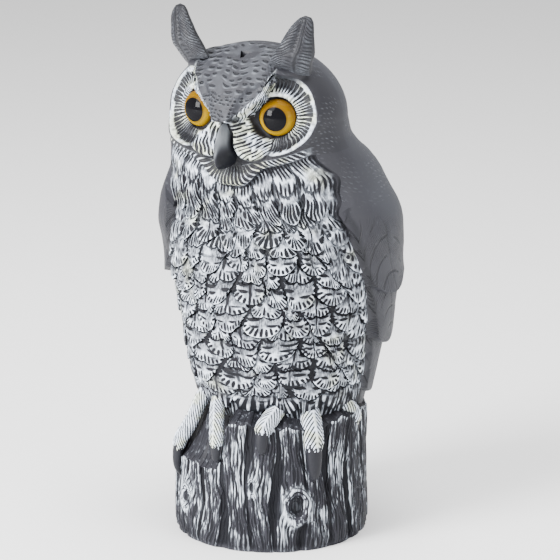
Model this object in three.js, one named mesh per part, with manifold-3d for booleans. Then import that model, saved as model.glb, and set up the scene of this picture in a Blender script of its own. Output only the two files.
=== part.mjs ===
// Great horned owl decoy: a blow-moulded plastic owl standing on a tree stump, with two
// domed plastic eyes pressed into its face.
// Millimetres, +Z up. The owl faces -Y and the origin is the centre of the stump's underside.
// A bearing is an angle in degrees round the upright axis: 0 is the front, 90 the owl's left.
import * as THREE from "three";
import { mergeVertices } from "three/addons/utils/BufferGeometryUtils.js";
import Module from "manifold-3d";

// Driving dimensions of the stump
const STUMP_RADIUS = 75.8;
const STUMP_HEIGHT = 99;
const STUMP_WAIST = 2.4; // how far the stump draws in above its foot
const RIM_ROUND = 3; // rounding of the stump's top edge
const FOOT_ROUND = 1.5; // drawing-in of the stump's lowest edge
const LEDGE_RISE = 12; // climb of the stump's top from its rim to the belly
const LEDGE_WIDTH = 20;
const BARK_DEPTH = 2.2;
const BARK_PLATES = 22;
const NOTCH_DEPTH = 35; // the broken-out piece of the rim under the right foot
const NOTCH_BEARING = -49;
const NOTCH_HALF_WIDTH = 49; // degrees

// Driving dimensions of the bird. Its free forms are in units of a bird 307 mm tall.
const BIRD_HEIGHT = 307; // stump top to ear tips
const SCULPTED_HEIGHT = 307;
const UNIT = BIRD_HEIGHT / SCULPTED_HEIGHT;
const BODY_TURN = 11; // degrees that the body faces to the owl's left of its head
const BODY_SHIFT = 5; // the body stands off the stump's axis, to the owl's left
const FEATHER_RELIEF = 2.4; // height of a breast feather's tip
const STEP_RISE = 1.4; // height over which a feather's tip steps in
const CLAW_SHARE = 0.82; // a claw's width as a share of its toe's

// Driving dimensions of the eyes
const EYE_DIAMETER = 27;
const EYE_BULGE = 8.5; // height of the dome over its rim
const EYE_RIM = 2.5; // straight edge behind the dome
const STEM_DIAMETER = 16;
const STEM_LENGTH = 9;
const EYE_FIT = 0.4; // clearance round each eye in its socket
const EYE_SPLAY = 12; // degrees that each eye looks outwards

// Mesh fineness
const REAR_COLUMNS = 9; // columns from a wing's edge to the spine
const FACE_ROWS = 9;
const CROWN_ROWS = 8;
const TOE_RINGS = 9;

const wasm = await Module();
wasm.setup();

const rad = THREE.MathUtils.degToRad;
const lerp = THREE.MathUtils.lerp;
const clamp01 = (t) => Math.min(1, Math.max(0, t));
const smooth = (low, high, x) => {
  const t = clamp01((x - low) / (high - low));
  return t * t * (3 - 2 * t);
};
const bell = (x, width) => Math.exp(-((x / width) ** 2));
// A number from 0 to 1 that looks random, for whole numbers i and j.
const chance = (i, j) => {
  const scattered = Math.sin(i * 12.9898 + j * 4.1414 + 0.6) * 43.7585;
  return scattered - Math.floor(scattered);
};
const steps = (count) => Array.from({ length: count + 1 }, (_, i) => i / count);

// A smooth curve through one column of a table whose first column rises (monotone cubic).
function curve(table, column) {
  const x = table.map((row) => row[0]);
  const y = table.map((row) => row[column]);
  const last = x.length - 1;
  const slope = x.slice(1).map((_, i) => (y[i + 1] - y[i]) / (x[i + 1] - x[i]));
  const tangent = y.map((_, i) => {
    if (i === 0 || i === last) return slope[Math.min(i, last - 1)];
    const [a, b] = [slope[i - 1], slope[i]];
    return a * b <= 0 ? 0 : (2 * a * b) / (a + b);
  });
  return (at) => {
    const p = Math.min(x[last], Math.max(x[0], at));
    let i = 0;
    while (i < last - 1 && p > x[i + 1]) i += 1;
    const h = x[i + 1] - x[i];
    const t = (p - x[i]) / h;
    const bend = y[i] * (2 * t ** 3 - 3 * t ** 2 + 1) + y[i + 1] * (3 * t ** 2 - 2 * t ** 3);
    return bend + h * (tangent[i] * (t ** 3 - 2 * t ** 2 + t) + tangent[i + 1] * (t ** 3 - t ** 2));
  };
}

// Radius at a bearing of an oval with half-width w, half-depth d and squareness n.
function oval(bearing, w, d, n) {
  const across = Math.abs(Math.sin(rad(bearing)) / w) ** n;
  const along = Math.abs(Math.cos(rad(bearing)) / d) ** n;
  return (across + along) ** (-1 / n);
}

// Closed shell through rings of equal length, running upwards, with a point at each end.
function shell(rings, start, end) {
  const n = rings[0].length;
  const points = [start, ...rings.flat(), end];
  const top = points.length - 1;
  const at = (ring, i) => 1 + ring * n + (i % n);
  const index = [];
  for (let i = 0; i < n; i += 1) {
    index.push(0, at(0, i + 1), at(0, i));
    index.push(top, at(rings.length - 1, i), at(rings.length - 1, i + 1));
  }
  for (let r = 0; r + 1 < rings.length; r += 1) {
    for (let i = 0; i < n; i += 1) {
      const [a, b, c, d] = [at(r, i), at(r, i + 1), at(r + 1, i + 1), at(r + 1, i)];
      const rising = points[a].distanceTo(points[c]) < points[b].distanceTo(points[d]);
      index.push(...(rising ? [a, b, c, a, c, d] : [a, b, d, b, c, d]));
    }
  }
  const geometry = new THREE.BufferGeometry().setFromPoints(points);
  return geometry.setIndex(index);
}

function toSolid(geometry) {
  const bare = new THREE.BufferGeometry();
  bare.setAttribute("position", geometry.getAttribute("position").clone());
  bare.setIndex(geometry.index);
  const merged = mergeVertices(bare, 1e-4);
  const mesh = new wasm.Mesh({
    numProp: 3,
    vertProperties: new Float32Array(merged.attributes.position.array),
    triVerts: new Uint32Array(merged.index.array),
  });
  const solid = new wasm.Manifold(mesh);
  if (solid.volume() > 0) return solid;
  for (let i = 0; i < mesh.triVerts.length; i += 3) {
    const kept = mesh.triVerts[i + 1];
    mesh.triVerts[i + 1] = mesh.triVerts[i + 2];
    mesh.triVerts[i + 2] = kept;
  }
  return new wasm.Manifold(mesh);
}

function toGeometry(solid) {
  const mesh = solid.getMesh();
  const geometry = new THREE.BufferGeometry();
  geometry.setAttribute("position", new THREE.BufferAttribute(mesh.vertProperties, 3));
  geometry.setIndex(new THREE.BufferAttribute(mesh.triVerts, 1));
  geometry.computeVertexNormals();
  return geometry;
}

// The stump: an upright round trunk with plates of bark, two knots, a broken rim and a top
// that climbs to the bird's belly.
const KNOTS = [
  { bearing: 45, height: 36, halfWidth: 9, halfHeight: 12, hollow: 4.5, lip: 2.4 },
  { bearing: -31, height: 31, halfWidth: 7, halfHeight: 9, hollow: 2.6, lip: 1.2 },
];

// A groove between two plates of bark wanders round the trunk as it climbs.
function plateBearing(plate, height) {
  return (360 / BARK_PLATES) * (plate + 0.1 * Math.sin(height / 17 + plate * 1.7)) - 180;
}

// Height of the bark over the trunk's mean surface. Whole plate numbers are the grooves.
function barkRelief(plate, bearing, height) {
  const groove = Math.abs(((plate + 0.5) % 1) - 0.5);
  const strength = 0.65 + 0.35 * Math.sin(Math.round(plate) * 2.4 + height / 24);
  let relief = BARK_DEPTH * strength * (smooth(0, 0.3, groove) - 1);
  relief += 0.8 * Math.sin(Math.floor(plate) * 5.1 + height / 23) - 0.3;
  for (const knot of KNOTS) {
    const across = (rad(bearing - knot.bearing) * STUMP_RADIUS) / knot.halfWidth;
    const away = Math.hypot(across, (height - knot.height) / knot.halfHeight);
    relief = relief * smooth(0.8, 1.7, away) + knot.lip * bell(away - 1.05, 0.3);
    relief -= knot.hollow * (1 - smooth(0.35, 0.95, away));
  }
  return relief;
}

// The rim is highest at the front and broken away under the right foot.
function rimHeight(bearing) {
  const away = Math.abs(bearing - NOTCH_BEARING) / NOTCH_HALF_WIDTH;
  const ragged = 1.6 * Math.sin(rad(5 * bearing + 20)) + 1.2 * Math.sin(rad(11 * bearing));
  return STUMP_HEIGHT - 2 - NOTCH_DEPTH * (1 - smooth(0.88, 1.08, away)) + ragged;
}

function stumpPoint(bearing, height, inset, relief) {
  const share = height / STUMP_HEIGHT;
  const drawn = STUMP_WAIST * smooth(0.12, 0.7, share) + FOOT_ROUND * (1 - smooth(0, 0.06, share));
  const r = STUMP_RADIUS - drawn - inset + relief;
  return new THREE.Vector3(r * Math.sin(rad(bearing)), -r * Math.cos(rad(bearing)), height);
}

function stumpSolid() {
  const plates = steps(3 * BARK_PLATES).slice(0, -1).map((t) => t * BARK_PLATES);
  const sides = [0, 0.04, 0.15, 0.27, 0.38, 0.5, 0.64, 0.8, 0.96];
  const rings = sides.map((share) =>
    plates.map((plate) => {
      const bearing = plateBearing(plate, share * STUMP_HEIGHT);
      const height = share * rimHeight(bearing);
      const relief = barkRelief(plate, bearing, height) * (share ? 1 : 0.4);
      return stumpPoint(bearing, height, 0, relief);
    }),
  );
  const bearings = plates.map((plate) => plateBearing(plate, STUMP_HEIGHT));
  const shoulder = bearings.map((b) => stumpPoint(b, rimHeight(b) + 1, RIM_ROUND, 0));
  const ledge = [0.45, 1].map((share) =>
    bearings.map((bearing) => {
      const height = lerp(rimHeight(bearing) + 2, STUMP_HEIGHT + LEDGE_RISE, share ** 1.5);
      return stumpPoint(bearing, height, RIM_ROUND + share * LEDGE_WIDTH, 0);
    }),
  );
  const start = new THREE.Vector3(0, 0, 0);
  const end = new THREE.Vector3(0, 0, STUMP_HEIGHT + LEDGE_RISE);
  return toSolid(shell([...rings, shoulder, ...ledge], start, end));
}

// The bird's sections, from the stump's top upwards, in the sculptor's units.
// Each row: height, breast half-width, breast reach in front of the centre, wing half-width,
// wing reach in front of the centre, reach behind the centre, centre behind the axis, and the
// bearing of the wing's front edge off the bird's own front.
const SECTIONS = [
  [-14, 54, 60, 70, 66, 60, 11, 84],
  [6, 61, 66, 75, 66, 63, 10.5, 82],
  [14, 64, 69, 77, 66, 65, 10.5, 81],
  [30, 68, 75, 81.5, 66, 67, 10, 79.5],
  [46, 71, 78, 85, 66, 69, 10, 77.5],
  [62, 73.5, 80, 88, 66, 71, 10, 75],
  [77, 76.5, 81, 90, 66, 73, 10, 72],
  [93, 80.5, 81, 91.5, 66, 74, 10, 68.5],
  [109, 83.5, 80, 91.5, 68, 75, 9, 64.5],
  [125, 84.5, 78, 93, 68, 75, 7.5, 61],
  [140, 84, 74, 94, 68, 75, 4.5, 59],
  [156, 81, 69, 92.5, 66, 74, 4, 58.5],
  [171, 76, 62, 88, 64, 74, 3, 60],
  [179, 73.5, 58, 85, 60, 74, 1.5, 63],
  [187, 72.5, 54, 82, 56, 75, -3, 66],
  [195, 71, 50, 78, 50, 75, -9, 68],
  [203, 70, 47, 73.5, 46, 72, -16, 70],
  [214, 68, 46, 68.5, 46, 67, -20, 70],
  [226, 66.5, 46, 66.5, 46, 64, -20.5, 70],
];
const HEAD_CENTRE = 226; // the crown is a dome above this height
const CROWN_HEIGHT = 280;
const profile = SECTIONS[0].map((_, column) => curve(SECTIONS, column));

// Tip lines of the rows of breast feathers, and the ones of them where a tier of wing feathers
// ends too and the wing steps in.
const FEATHER_EDGES = [12, 33, 55, 77, 99, 121, 142, 160];
const FEATHERS_ACROSS = 9;
const FEATHER_HANG = 10; // drop of a feather's tip below its corners
const WING_TIERS = { 4: [4, 12], 2: [4.5, 9], 0: [3, 6] }; // step in, hang of the tips
const WING_FEATHERS = 3; // tips in a tier, from a wing's edge to the spine
const RIGHT_TUCK = 3; // how much closer the right wing lies to the body below its first tier

// Bearing of the front edge of a wing. The right one lies further back, low down.
function wingEdge(height, side) {
  return profile[7](height) + (side < 0 ? 10 * (1 - smooth(88, 102, height)) : 0);
}

// Where a column stands: its bearing off the bird's front, its place across the breast in
// feathers, and its share of a wing.
function columnAt(i, edge) {
  const side = Math.sign(i) || 1;
  const n = Math.abs(i);
  const front = 2 * FEATHERS_ACROSS;
  if (n <= front) return { bearing: side * (edge - 1.6) * (n / front), across: i / 4, wing: 0 };
  const share = (n - front - 1) / REAR_COLUMNS;
  const bearing = side * lerp(edge + 1.6, 180, share ** 1.1);
  return { bearing, across: (side * FEATHERS_ACROSS) / 2, wing: 1, share };
}

// Height of a tip line in one column.
function edgeLine(k, place) {
  if (place.wing) {
    const tier = WING_TIERS[k];
    if (!tier) return FEATHER_EDGES[k];
    const sway = (place.share * WING_FEATHERS) % 1;
    return FEATHER_EDGES[k] + tier[1] * ((2 * sway - 1) ** 2 - 0.5) + 3 * place.share;
  }
  const phase = place.across + k / 2 + 0.5;
  const number = Math.floor(phase);
  const side = 2 * (phase - number) - 1;
  const uneven = lerp(chance(number, k), chance(number + 1, k), smooth(0.8, 1, phase - number)) - 0.5;
  const wander = 7 * uneven + 1.6 * Math.sin(1.9 * (place.across + k));
  const calm = 1 - ((2 * place.across) / FEATHERS_ACROSS) ** 8;
  return FEATHER_EDGES[k] + FEATHER_HANG * (side ** 2 - 0.5) + wander * calm;
}

// How far a wing has stepped in at a height: each tier lies over the one below it.
function wingDrop(k, share, side) {
  let drop = side < 0 && k < 4 ? RIGHT_TUCK : 0;
  for (const [edge, [step]] of Object.entries(WING_TIERS)) {
    if (Number(edge) > k) drop += step;
    if (Number(edge) === k) drop -= 1.2 * (1 - share);
  }
  return drop;
}

// The face, by distance across (from the face's middle line) and height, in sculptor's units.
const EYE_ACROSS = 33;
const EYE_HEIGHT = 232;
const EYE_SETBACK = 51; // eye rim in front of the axis, in the head's own direction

// The brow runs from between the eyes up to each ear, and overhangs the eye. The ruff is the
// lower edge of the face.
function browLine(across) {
  const steep = Math.max(across - 22, 0);
  return Math.min(231 + 0.95 * Math.max(across - 6, 0) + 0.097 * steep ** 2, 268);
}

function ruffLine(across) {
  return 181 + 25 * (Math.min(across, 58) / 54) ** 1.35;
}

function faceRelief(across, height) {
  const x = Math.abs(across);
  const dx = x - EYE_ACROSS;
  const dz = height - EYE_HEIGHT;
  const disc = Math.hypot(dx / 27.5, dz / (dz > 0 ? 31 : 27));
  const lobe = Math.hypot((x - 17) / 16, (height - 210) / 15);
  let relief = -5.5 * (1 - smooth(0.75, 1, disc));
  relief += 3 * bell(disc - 1.06, 0.1) * smooth(-8, 12, dx);
  relief -= 7 * (1 - smooth(0.42, 0.68, Math.hypot(dx / 27, dz / 27)));
  relief += 2.2 * (1 - smooth(0.7, 1, lobe)) * smooth(3, 9, x) - 1.5 * bell(lobe - 1.12, 0.14);
  relief += 1.5 * bell(x - 7, 6) * bell(height - 212, 14);
  const brow = height - browLine(x);
  const overhang = lerp(-3.6, -8.5, smooth(8, 18, x));
  const above = Math.exp(-Math.max(brow, 0) / 26) * (1 - smooth(46, 62, x));
  relief += 10 * smooth(overhang, 0, brow) * above;
  const ruff = height - ruffLine(x);
  const front = 1 - smooth(52, 66, x);
  relief += 4.4 * smooth(-2.4, 0, ruff) * (1 - smooth(3, 15, ruff)) * front;
  relief -= 1.8 * bell(ruff + 5, 4) * front;
  return relief;
}

// A point of the bird's surface. Heights are in sculptor's units above the stump's top. The
// row k of feathers holds the point, at the share t of the way up to the next row's tips.
function birdPoint(place, height, k, t) {
  const level = Math.min(height, HEAD_CENTRE);
  const [, breastWidth, front, wingWidth, wingFront, back, centre] = profile.map((f) => f(level));
  const rise = clamp01((height - HEAD_CENTRE) / (CROWN_HEIGHT - HEAD_CENTRE));
  const dome = Math.sqrt(1 - rise * rise);
  const far = Math.abs(place.bearing);
  const breast = oval(far, breastWidth, far < 90 ? front : back, 2.15);
  const wing = oval(far, wingWidth, far < 90 ? wingFront : back, 2.15);
  const neck = smooth(146, 184, height);
  const spread = lerp(place.wing, smooth(20, 110, far), neck);
  let r = lerp(breast, wing, spread) * dome;
  const feathered = 1 - smooth(166, 178, height);
  if (place.wing) r -= wingDrop(k, t, Math.sign(place.bearing)) * feathered;
  else r += FEATHER_RELIEF * (1 - t) * feathered * (1 - 0.4 * Math.cos(Math.PI * 2 * place.across) ** 2);
  const facing = smooth(-0.1, 0.35, Math.cos(rad(far))) * smooth(168, 178, height);
  const lift = facing * smooth(0, 0.35, dome);
  let relief = 0;
  for (let pass = 0; pass < 3; pass += 1) {
    relief = faceRelief((r + relief) * Math.sin(rad(far)), height) * lift;
  }
  r += relief;
  const twist = 1 - smooth(165, 200, height);
  const bearing = rad(place.bearing + BODY_TURN * twist);
  return new THREE.Vector3(
    (r * Math.sin(bearing) + BODY_SHIFT * twist) * UNIT,
    (centre - r * Math.cos(bearing)) * UNIT,
    STUMP_HEIGHT + height * UNIT,
  );
}

// The rows of the bird's mesh follow the tip lines: a step at each line, then the feather's back.
function birdSolid() {
  const columns = [];
  const half = 2 * FEATHERS_ACROSS + 1 + REAR_COLUMNS;
  for (let i = 1 - half; i <= half; i += 1) columns.push(i);
  const last = FEATHER_EDGES.length - 1;
  const rings = [];
  const addRow = (heightOf, k, t) =>
    rings.push(columns.map((i) => {
      const guess = columnAt(i, wingEdge(heightOf(columnAt(i, 70)), i));
      return birdPoint(guess, heightOf(guess), k, t);
    }));
  addRow(() => -14, -1, 0);
  FEATHER_EDGES.forEach((_, k) => {
    addRow((place) => edgeLine(k, place) - STEP_RISE, k - 1, 0.95);
    addRow((place) => edgeLine(k, place), k, 0);
    if (k < last) addRow((place) => (edgeLine(k, place) + edgeLine(k + 1, place)) / 2, k, 0.5);
  });
  // The rows of the head follow the ruff and the brow, with a step at each.
  const aside = (place) => Math.sin(rad(Math.min(90, Math.abs(place.bearing))));
  const behind = (place) => smooth(70, 120, Math.abs(place.bearing));
  const ruffOf = (place) => ruffLine((52 + 19 * aside(place) ** 2) * aside(place));
  const browOf = (place) => browLine(56.5 * aside(place)) - 18 * behind(place);
  addRow((place) => lerp(170, ruffOf(place), 0.1), last, 0.6);
  addRow((place) => lerp(170, ruffOf(place), 0.5), last, 0.8);
  addRow((place) => ruffOf(place) - 2.6, last, 1);
  for (const t of steps(FACE_ROWS)) {
    addRow((place) => lerp(ruffOf(place), browOf(place) - 3.4, t), last, 1);
  }
  for (const t of steps(CROWN_ROWS).slice(0, -1)) {
    const climb = Math.sin((Math.PI / 2) * t);
    addRow((place) => lerp(browOf(place), CROWN_HEIGHT - 0.6, climb), last, 1);
  }
  const start = new THREE.Vector3(0, 0, STUMP_HEIGHT - 14 * UNIT);
  const end = rings.at(-1).reduce((sum, p) => sum.add(p), new THREE.Vector3());
  end.divideScalar(rings[0].length).setZ(STUMP_HEIGHT + CROWN_HEIGHT * UNIT);
  return toSolid(shell(rings, start, end));
}

// From distance across, forward of the axis and height in the sculptor's units to the part's frame.
function inHead(across, forward, height) {
  return new THREE.Vector3(across * UNIT, -forward * UNIT, STUMP_HEIGHT + height * UNIT);
}

// Ring of points round a centre, in the plane of two half-axes.
function ringOf(centre, halfA, halfB, count, n = 2) {
  return steps(count).slice(0, -1).map((t) => {
    const angle = 2 * Math.PI * t;
    const scale = (Math.abs(Math.cos(angle)) ** n + Math.abs(Math.sin(angle)) ** n) ** (-1 / n);
    return centre.clone()
      .addScaledVector(halfA, Math.cos(angle) * scale)
      .addScaledVector(halfB, Math.sin(angle) * scale);
  });
}

// An ear tuft: a flat horn that leans out a little. Rows of height, middle across, half-width,
// middle forward and half-thickness.
const EAR = [
  [250, 34, 14, 22, 8],
  [262, 37, 17, 32, 11],
  [267, 38, 18.2, 38.5, 12.8],
  [271, 38.6, 17.8, 41.5, 12.2],
  [275, 40.2, 17.6, 43, 11.5],
  [280, 43.6, 15.5, 44.5, 10],
  [284, 46.4, 13.3, 45, 8.5],
  [288, 47.9, 11.9, 45, 7.3],
  [293, 49.4, 10.3, 45, 6.2],
  [299, 51.2, 8.4, 44.5, 5.2],
  [303, 52.2, 6.4, 43, 4.4],
  [306, 52.8, 3.8, 42, 3.4],
];

function earSolid(side) {
  const rings = EAR.map(([height, across, halfWidth, forward, halfDepth]) => {
    const middle = inHead(side * across, forward, height);
    const sideways = inHead(side * (across + halfWidth), forward - 3 * (halfWidth / 14), height);
    const depth = inHead(side * across, forward + halfDepth, height);
    return ringOf(middle, sideways.sub(middle), depth.sub(middle), 12, 2.2);
  });
  return toSolid(shell(rings, inHead(side * 34, 22, 248), inHead(side * 52.8, 42, 307.6)));
}

// The beak: a smooth hooked kite. Rows of height, half-width, root forward and ridge forward.
const BEAK = [
  [227.5, 0.8, 66, 72.5],
  [224, 2.8, 63, 75.5],
  [218, 5, 60, 79],
  [211, 6.8, 58, 81],
  [205, 7.4, 58, 81.5],
  [199, 5.8, 60, 80],
  [195.5, 2.8, 66, 77],
];

function beakSolid() {
  const rings = BEAK.map(([height, halfWidth, root, ridge]) => {
    const middle = inHead(0, root, height);
    const sideways = inHead(halfWidth, root, height).sub(middle);
    const depth = inHead(0, ridge, height).sub(middle);
    return ringOf(middle, sideways, depth, 12, 1.7);
  });
  return toSolid(shell(rings.reverse(), inHead(0, 71.5, 193.8), inHead(0, 67, 228.5)));
}

// Toes: feathered humps that leave the belly, bend over the rim and end in a claw.
// Each has its root's and its claw's bearing, the height of the claw's tip, its reach from the
// axis, its half-width, how soon it bends down, and the share of its length where the bare claw
// starts.
const TOES = [
  { root: 39, bearing: 24.5, tip: 77, reach: 79, radius: 6.4, bend: 0.16, bareFrom: 0.53 },
  { root: 60, bearing: 55.5, tip: 53, reach: 79, radius: 7.6, bend: 0.14, bareFrom: 0.55 },
  { root: 81, bearing: 96, tip: 77, reach: 73, radius: 6.6, bend: 0.16, bareFrom: 0.6 },
  { root: -18, bearing: -4, tip: 66, reach: 79, radius: 5.4, bend: 0.16, bareFrom: 0.62 },
  { root: -32, bearing: -44, tip: 42, reach: 79, radius: 6.2, bend: 0.36, bareFrom: 0.58 },
  { root: -70, bearing: -94, tip: 76, reach: 60, radius: 5.6, bend: 0.2, bareFrom: 0.58 },
];

function toeSolid(toe) {
  const lift = STUMP_HEIGHT + LEDGE_RISE;
  const claw = (STUMP_HEIGHT * toe.tip) / 99;
  const outside = toe.reach - 75.8 + STUMP_RADIUS;
  const path = [
    [-0.1, lift + 6, 44 * UNIT],
    [0.1, lift + 2, 54 * UNIT],
    [0.45, lerp(lift, claw, toe.bend), lerp(54 * UNIT, outside, 0.23 + 0.75 * toe.bend)],
    [0.8, lerp(lift, claw, 0.3 + 0.7 * toe.bend), lerp(54 * UNIT, outside, 0.72)],
    [1, lerp(lift, claw, 0.72), outside - 4.5],
    [1.04, lerp(lift, claw, 0.88), outside - 4.5],
    [1.06, claw + 1, outside - 8],
  ].map(([share, height, reach]) => {
    const bearing = rad(lerp(toe.root, toe.bearing, Math.min(1, share / 0.85)));
    return new THREE.Vector3(reach * Math.sin(bearing), -reach * Math.cos(bearing), height);
  });
  const line = new THREE.CatmullRomCurve3(path);
  const rings = steps(TOE_RINGS).map((t) => {
    const centre = line.getPoint(t);
    const along = line.getTangent(t);
    const bearing = Math.atan2(centre.x, -centre.y);
    const sideways = new THREE.Vector3(Math.cos(bearing), Math.sin(bearing), 0);
    sideways.addScaledVector(along, -sideways.dot(along)).normalize();
    const outward = new THREE.Vector3().crossVectors(along, sideways);
    const feathered = toe.radius * (0.9 + 0.2 * Math.sin(Math.PI * t * 1.3));
    const bare = toe.radius * CLAW_SHARE * Math.sqrt(clamp01((1.03 - t) / 0.42));
    const r = lerp(feathered, bare, smooth(toe.bareFrom - 0.02, toe.bareFrom + 0.06, t)) * UNIT;
    return ringOf(centre, sideways.multiplyScalar(r), outward.multiplyScalar(r * 0.85), 8);
  });
  return toSolid(shell(rings, path[0], line.getPoint(1).addScaledVector(line.getTangent(1), 1)));
}

// Each eye is a dome with a short stem behind it, turned about its own axis.
function eyeGeometry(fit) {
  const r = EYE_DIAMETER / 2 + fit;
  const bulge = EYE_BULGE + fit;
  const dome = steps(4).map((t) => {
    const angle = (Math.PI / 2) * t;
    return new THREE.Vector2(r * Math.cos(angle), bulge * Math.sin(angle));
  });
  dome[dome.length - 1].x = 0;
  const stem = STEM_DIAMETER / 2 + fit;
  const profilePoints = [
    new THREE.Vector2(0, -EYE_RIM - STEM_LENGTH - fit),
    new THREE.Vector2(stem, -EYE_RIM - STEM_LENGTH - fit),
    new THREE.Vector2(stem, -EYE_RIM - fit),
    new THREE.Vector2(r, -EYE_RIM - fit),
    ...dome,
  ];
  return new THREE.LatheGeometry(profilePoints, 20);
}

// Places an eye: the lathe's axis looks forward and outwards.
function eyePlace(side) {
  const looking = new THREE.Vector3(side * Math.sin(rad(EYE_SPLAY)), -Math.cos(rad(EYE_SPLAY)), 0);
  const turn = new THREE.Quaternion().setFromUnitVectors(new THREE.Vector3(0, 1, 0), looking);
  const place = inHead(side * EYE_ACROSS, EYE_SETBACK - 3, EYE_HEIGHT);
  return new THREE.Matrix4().compose(place, turn, new THREE.Vector3(1, 1, 1));
}

// A small three-sided pocket in the crown, where the decoy can be hung by a line.
const POCKET = { across: 4.5, length: 9, deep: 6, forward: 40, height: 277 };

function pocketSolid() {
  const outline = [
    [-POCKET.across, -0.4],
    [POCKET.across, -0.4],
    [0, 0.6],
  ];
  const ring = (height) =>
    outline.map(([across, share]) =>
      inHead(across / UNIT, POCKET.forward + (share * POCKET.length) / UNIT, height),
    );
  const low = POCKET.height - POCKET.deep;
  const high = POCKET.height + 8;
  const rings = [ring(low), ring(high)];
  return toSolid(shell(rings, inHead(0, POCKET.forward, low), inHead(0, POCKET.forward, high)));
}

function mouldedBody() {
  let solid = stumpSolid().add(birdSolid());
  for (const toe of TOES) solid = solid.add(toeSolid(toe));
  for (const side of [-1, 1]) solid = solid.add(earSolid(side));
  solid = solid.add(beakSolid());
  for (const side of [-1, 1]) {
    const socket = eyeGeometry(EYE_FIT).applyMatrix4(eyePlace(side));
    solid = solid.subtract(toSolid(socket));
  }
  return solid.subtract(pocketSolid());
}

const mouldedPlastic = new THREE.MeshStandardMaterial({ color: 0x67656d, roughness: 0.6, metalness: 0 });
const amberPlastic = new THREE.MeshStandardMaterial({ color: 0xd9a21b, roughness: 0.12, metalness: 0 });

function named(name, geometry, material) {
  const mesh = new THREE.Mesh(geometry, material);
  mesh.name = name;
  return mesh;
}

const owl = new THREE.Group();
owl.add(named("owl_on_stump", toGeometry(mouldedBody()), mouldedPlastic));
for (const [side, name] of [[1, "left_eye"], [-1, "right_eye"]]) {
  const eye = named(name, toGeometry(toSolid(eyeGeometry(0))), amberPlastic);
  eye.applyMatrix4(eyePlace(side));
  owl.add(eye);
}

export default owl;
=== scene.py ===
import math

import bpy
import numpy as np
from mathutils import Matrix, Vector


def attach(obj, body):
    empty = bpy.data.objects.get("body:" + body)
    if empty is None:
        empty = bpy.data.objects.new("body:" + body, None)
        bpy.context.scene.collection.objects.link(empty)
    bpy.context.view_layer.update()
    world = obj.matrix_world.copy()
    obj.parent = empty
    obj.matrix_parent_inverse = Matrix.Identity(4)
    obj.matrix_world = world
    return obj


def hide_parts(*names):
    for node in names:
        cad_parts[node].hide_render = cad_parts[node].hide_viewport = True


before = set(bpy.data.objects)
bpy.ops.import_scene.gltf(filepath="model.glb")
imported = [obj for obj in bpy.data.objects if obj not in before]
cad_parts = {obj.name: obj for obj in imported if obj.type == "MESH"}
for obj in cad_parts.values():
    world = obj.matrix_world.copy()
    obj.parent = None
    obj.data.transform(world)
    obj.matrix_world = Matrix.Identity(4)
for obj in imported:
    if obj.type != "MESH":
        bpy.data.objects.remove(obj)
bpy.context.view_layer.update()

# The stump: the foot of one hollow blow-moulded body, a round trunk with plates of bark, three
# knots and a rim broken away under the right foot. Dark satin plastic, with white paint
# dragged over the ridges of the bark. Lengths are millimetres, which skin() turns into metres.
STUMP_RADIUS = 75.8
STUMP_HEIGHT = 99
STUMP_WAIST = 2.4
RIM_ROUND = 3
FOOT_ROUND = 1.5
LEDGE_RISE = 12
LEDGE_WIDTH = 20
BARK_DEPTH = 2.2
BARK_PLATES = 22
NOTCH = {"depth": 35, "bearing": -49, "half": 49}
KNOTS = [
    {"bearing": 45, "height": 36, "wide": 9, "tall": 12, "hollow": 4.5, "lip": 2.4},
    {"bearing": -31, "height": 31, "wide": 7, "tall": 9, "hollow": 2.6, "lip": 1.2},
    {"bearing": 18, "height": 51, "wide": 3.2, "tall": 6, "hollow": 1.6, "lip": 0.3},
]
BARE_PLASTIC = (0.023, 0.023, 0.029)
# the darkest colour is the dark wash in the cuts, and also the painted shade and shadow put in some
# of them
DARK_WASH_AND_SHADE = (0.005, 0.0055, 0.008)
WHITE_PAINT = (0.77, 0.85, 0.97)
CREAM_PAINT = (0.74, 0.77, 0.50)


class Wire:
    """A value that changes over a surface, while its finish is being wired up. Sums and
    products of wires add Math nodes, so a pattern is written once, for mesh and finish."""

    tree = None
    __array_ufunc__ = None

    def __init__(self, socket):
        self.socket = socket

    def __neg__(self):
        return wired("MULTIPLY", self, -1)


def feed(socket, value):
    if isinstance(value, Wire):
        Wire.tree.links.new(value.socket, socket)
    elif hasattr(value, "is_output"):
        Wire.tree.links.new(value, socket)
    else:
        socket.default_value = value


def wired(operation, *values):
    node = Wire.tree.nodes.new("ShaderNodeMath")
    node.operation = operation
    for socket, value in zip(node.inputs, values):
        feed(socket, value if isinstance(value, Wire) else float(value))
    return Wire(node.outputs[0])


ARITHMETIC = {"add": "ADD", "sub": "SUBTRACT", "mul": "MULTIPLY", "truediv": "DIVIDE"}
for name, operation in ARITHMETIC.items():
    setattr(Wire, f"__{name}__", lambda a, b, op=operation: wired(op, a, b))
    setattr(Wire, f"__r{name}__", lambda a, b, op=operation: wired(op, b, a))


def either(operation, of_arrays):
    """A function that takes arrays as well as wires."""

    def apply(*values):
        if any(isinstance(value, Wire) for value in values):
            return wired(operation, *values)
        return of_arrays(*values)

    return apply


sine = either("SINE", np.sin)
floor = either("FLOOR", np.floor)
fraction = either("FRACT", lambda x: x - np.floor(x))
size_of = either("ABSOLUTE", np.abs)
least = either("MINIMUM", np.minimum)
most = either("MAXIMUM", np.maximum)
power = either("POWER", np.power)
root = either("SQRT", np.sqrt)
angle_of = either("ARCTAN2", np.arctan2)
growth = either("EXPONENT", np.exp)


def smooth(low, high, x):
    if any(isinstance(value, Wire) for value in (low, high, x)):
        node = Wire.tree.nodes.new("ShaderNodeMapRange")
        node.interpolation_type = "SMOOTHSTEP"
        for socket, value in zip(node.inputs, (x, low, high)):
            feed(socket, value)
        return Wire(node.outputs[0])
    t = np.clip((x - low) / (high - low), 0, 1)
    return t * t * (3 - 2 * t)


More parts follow.
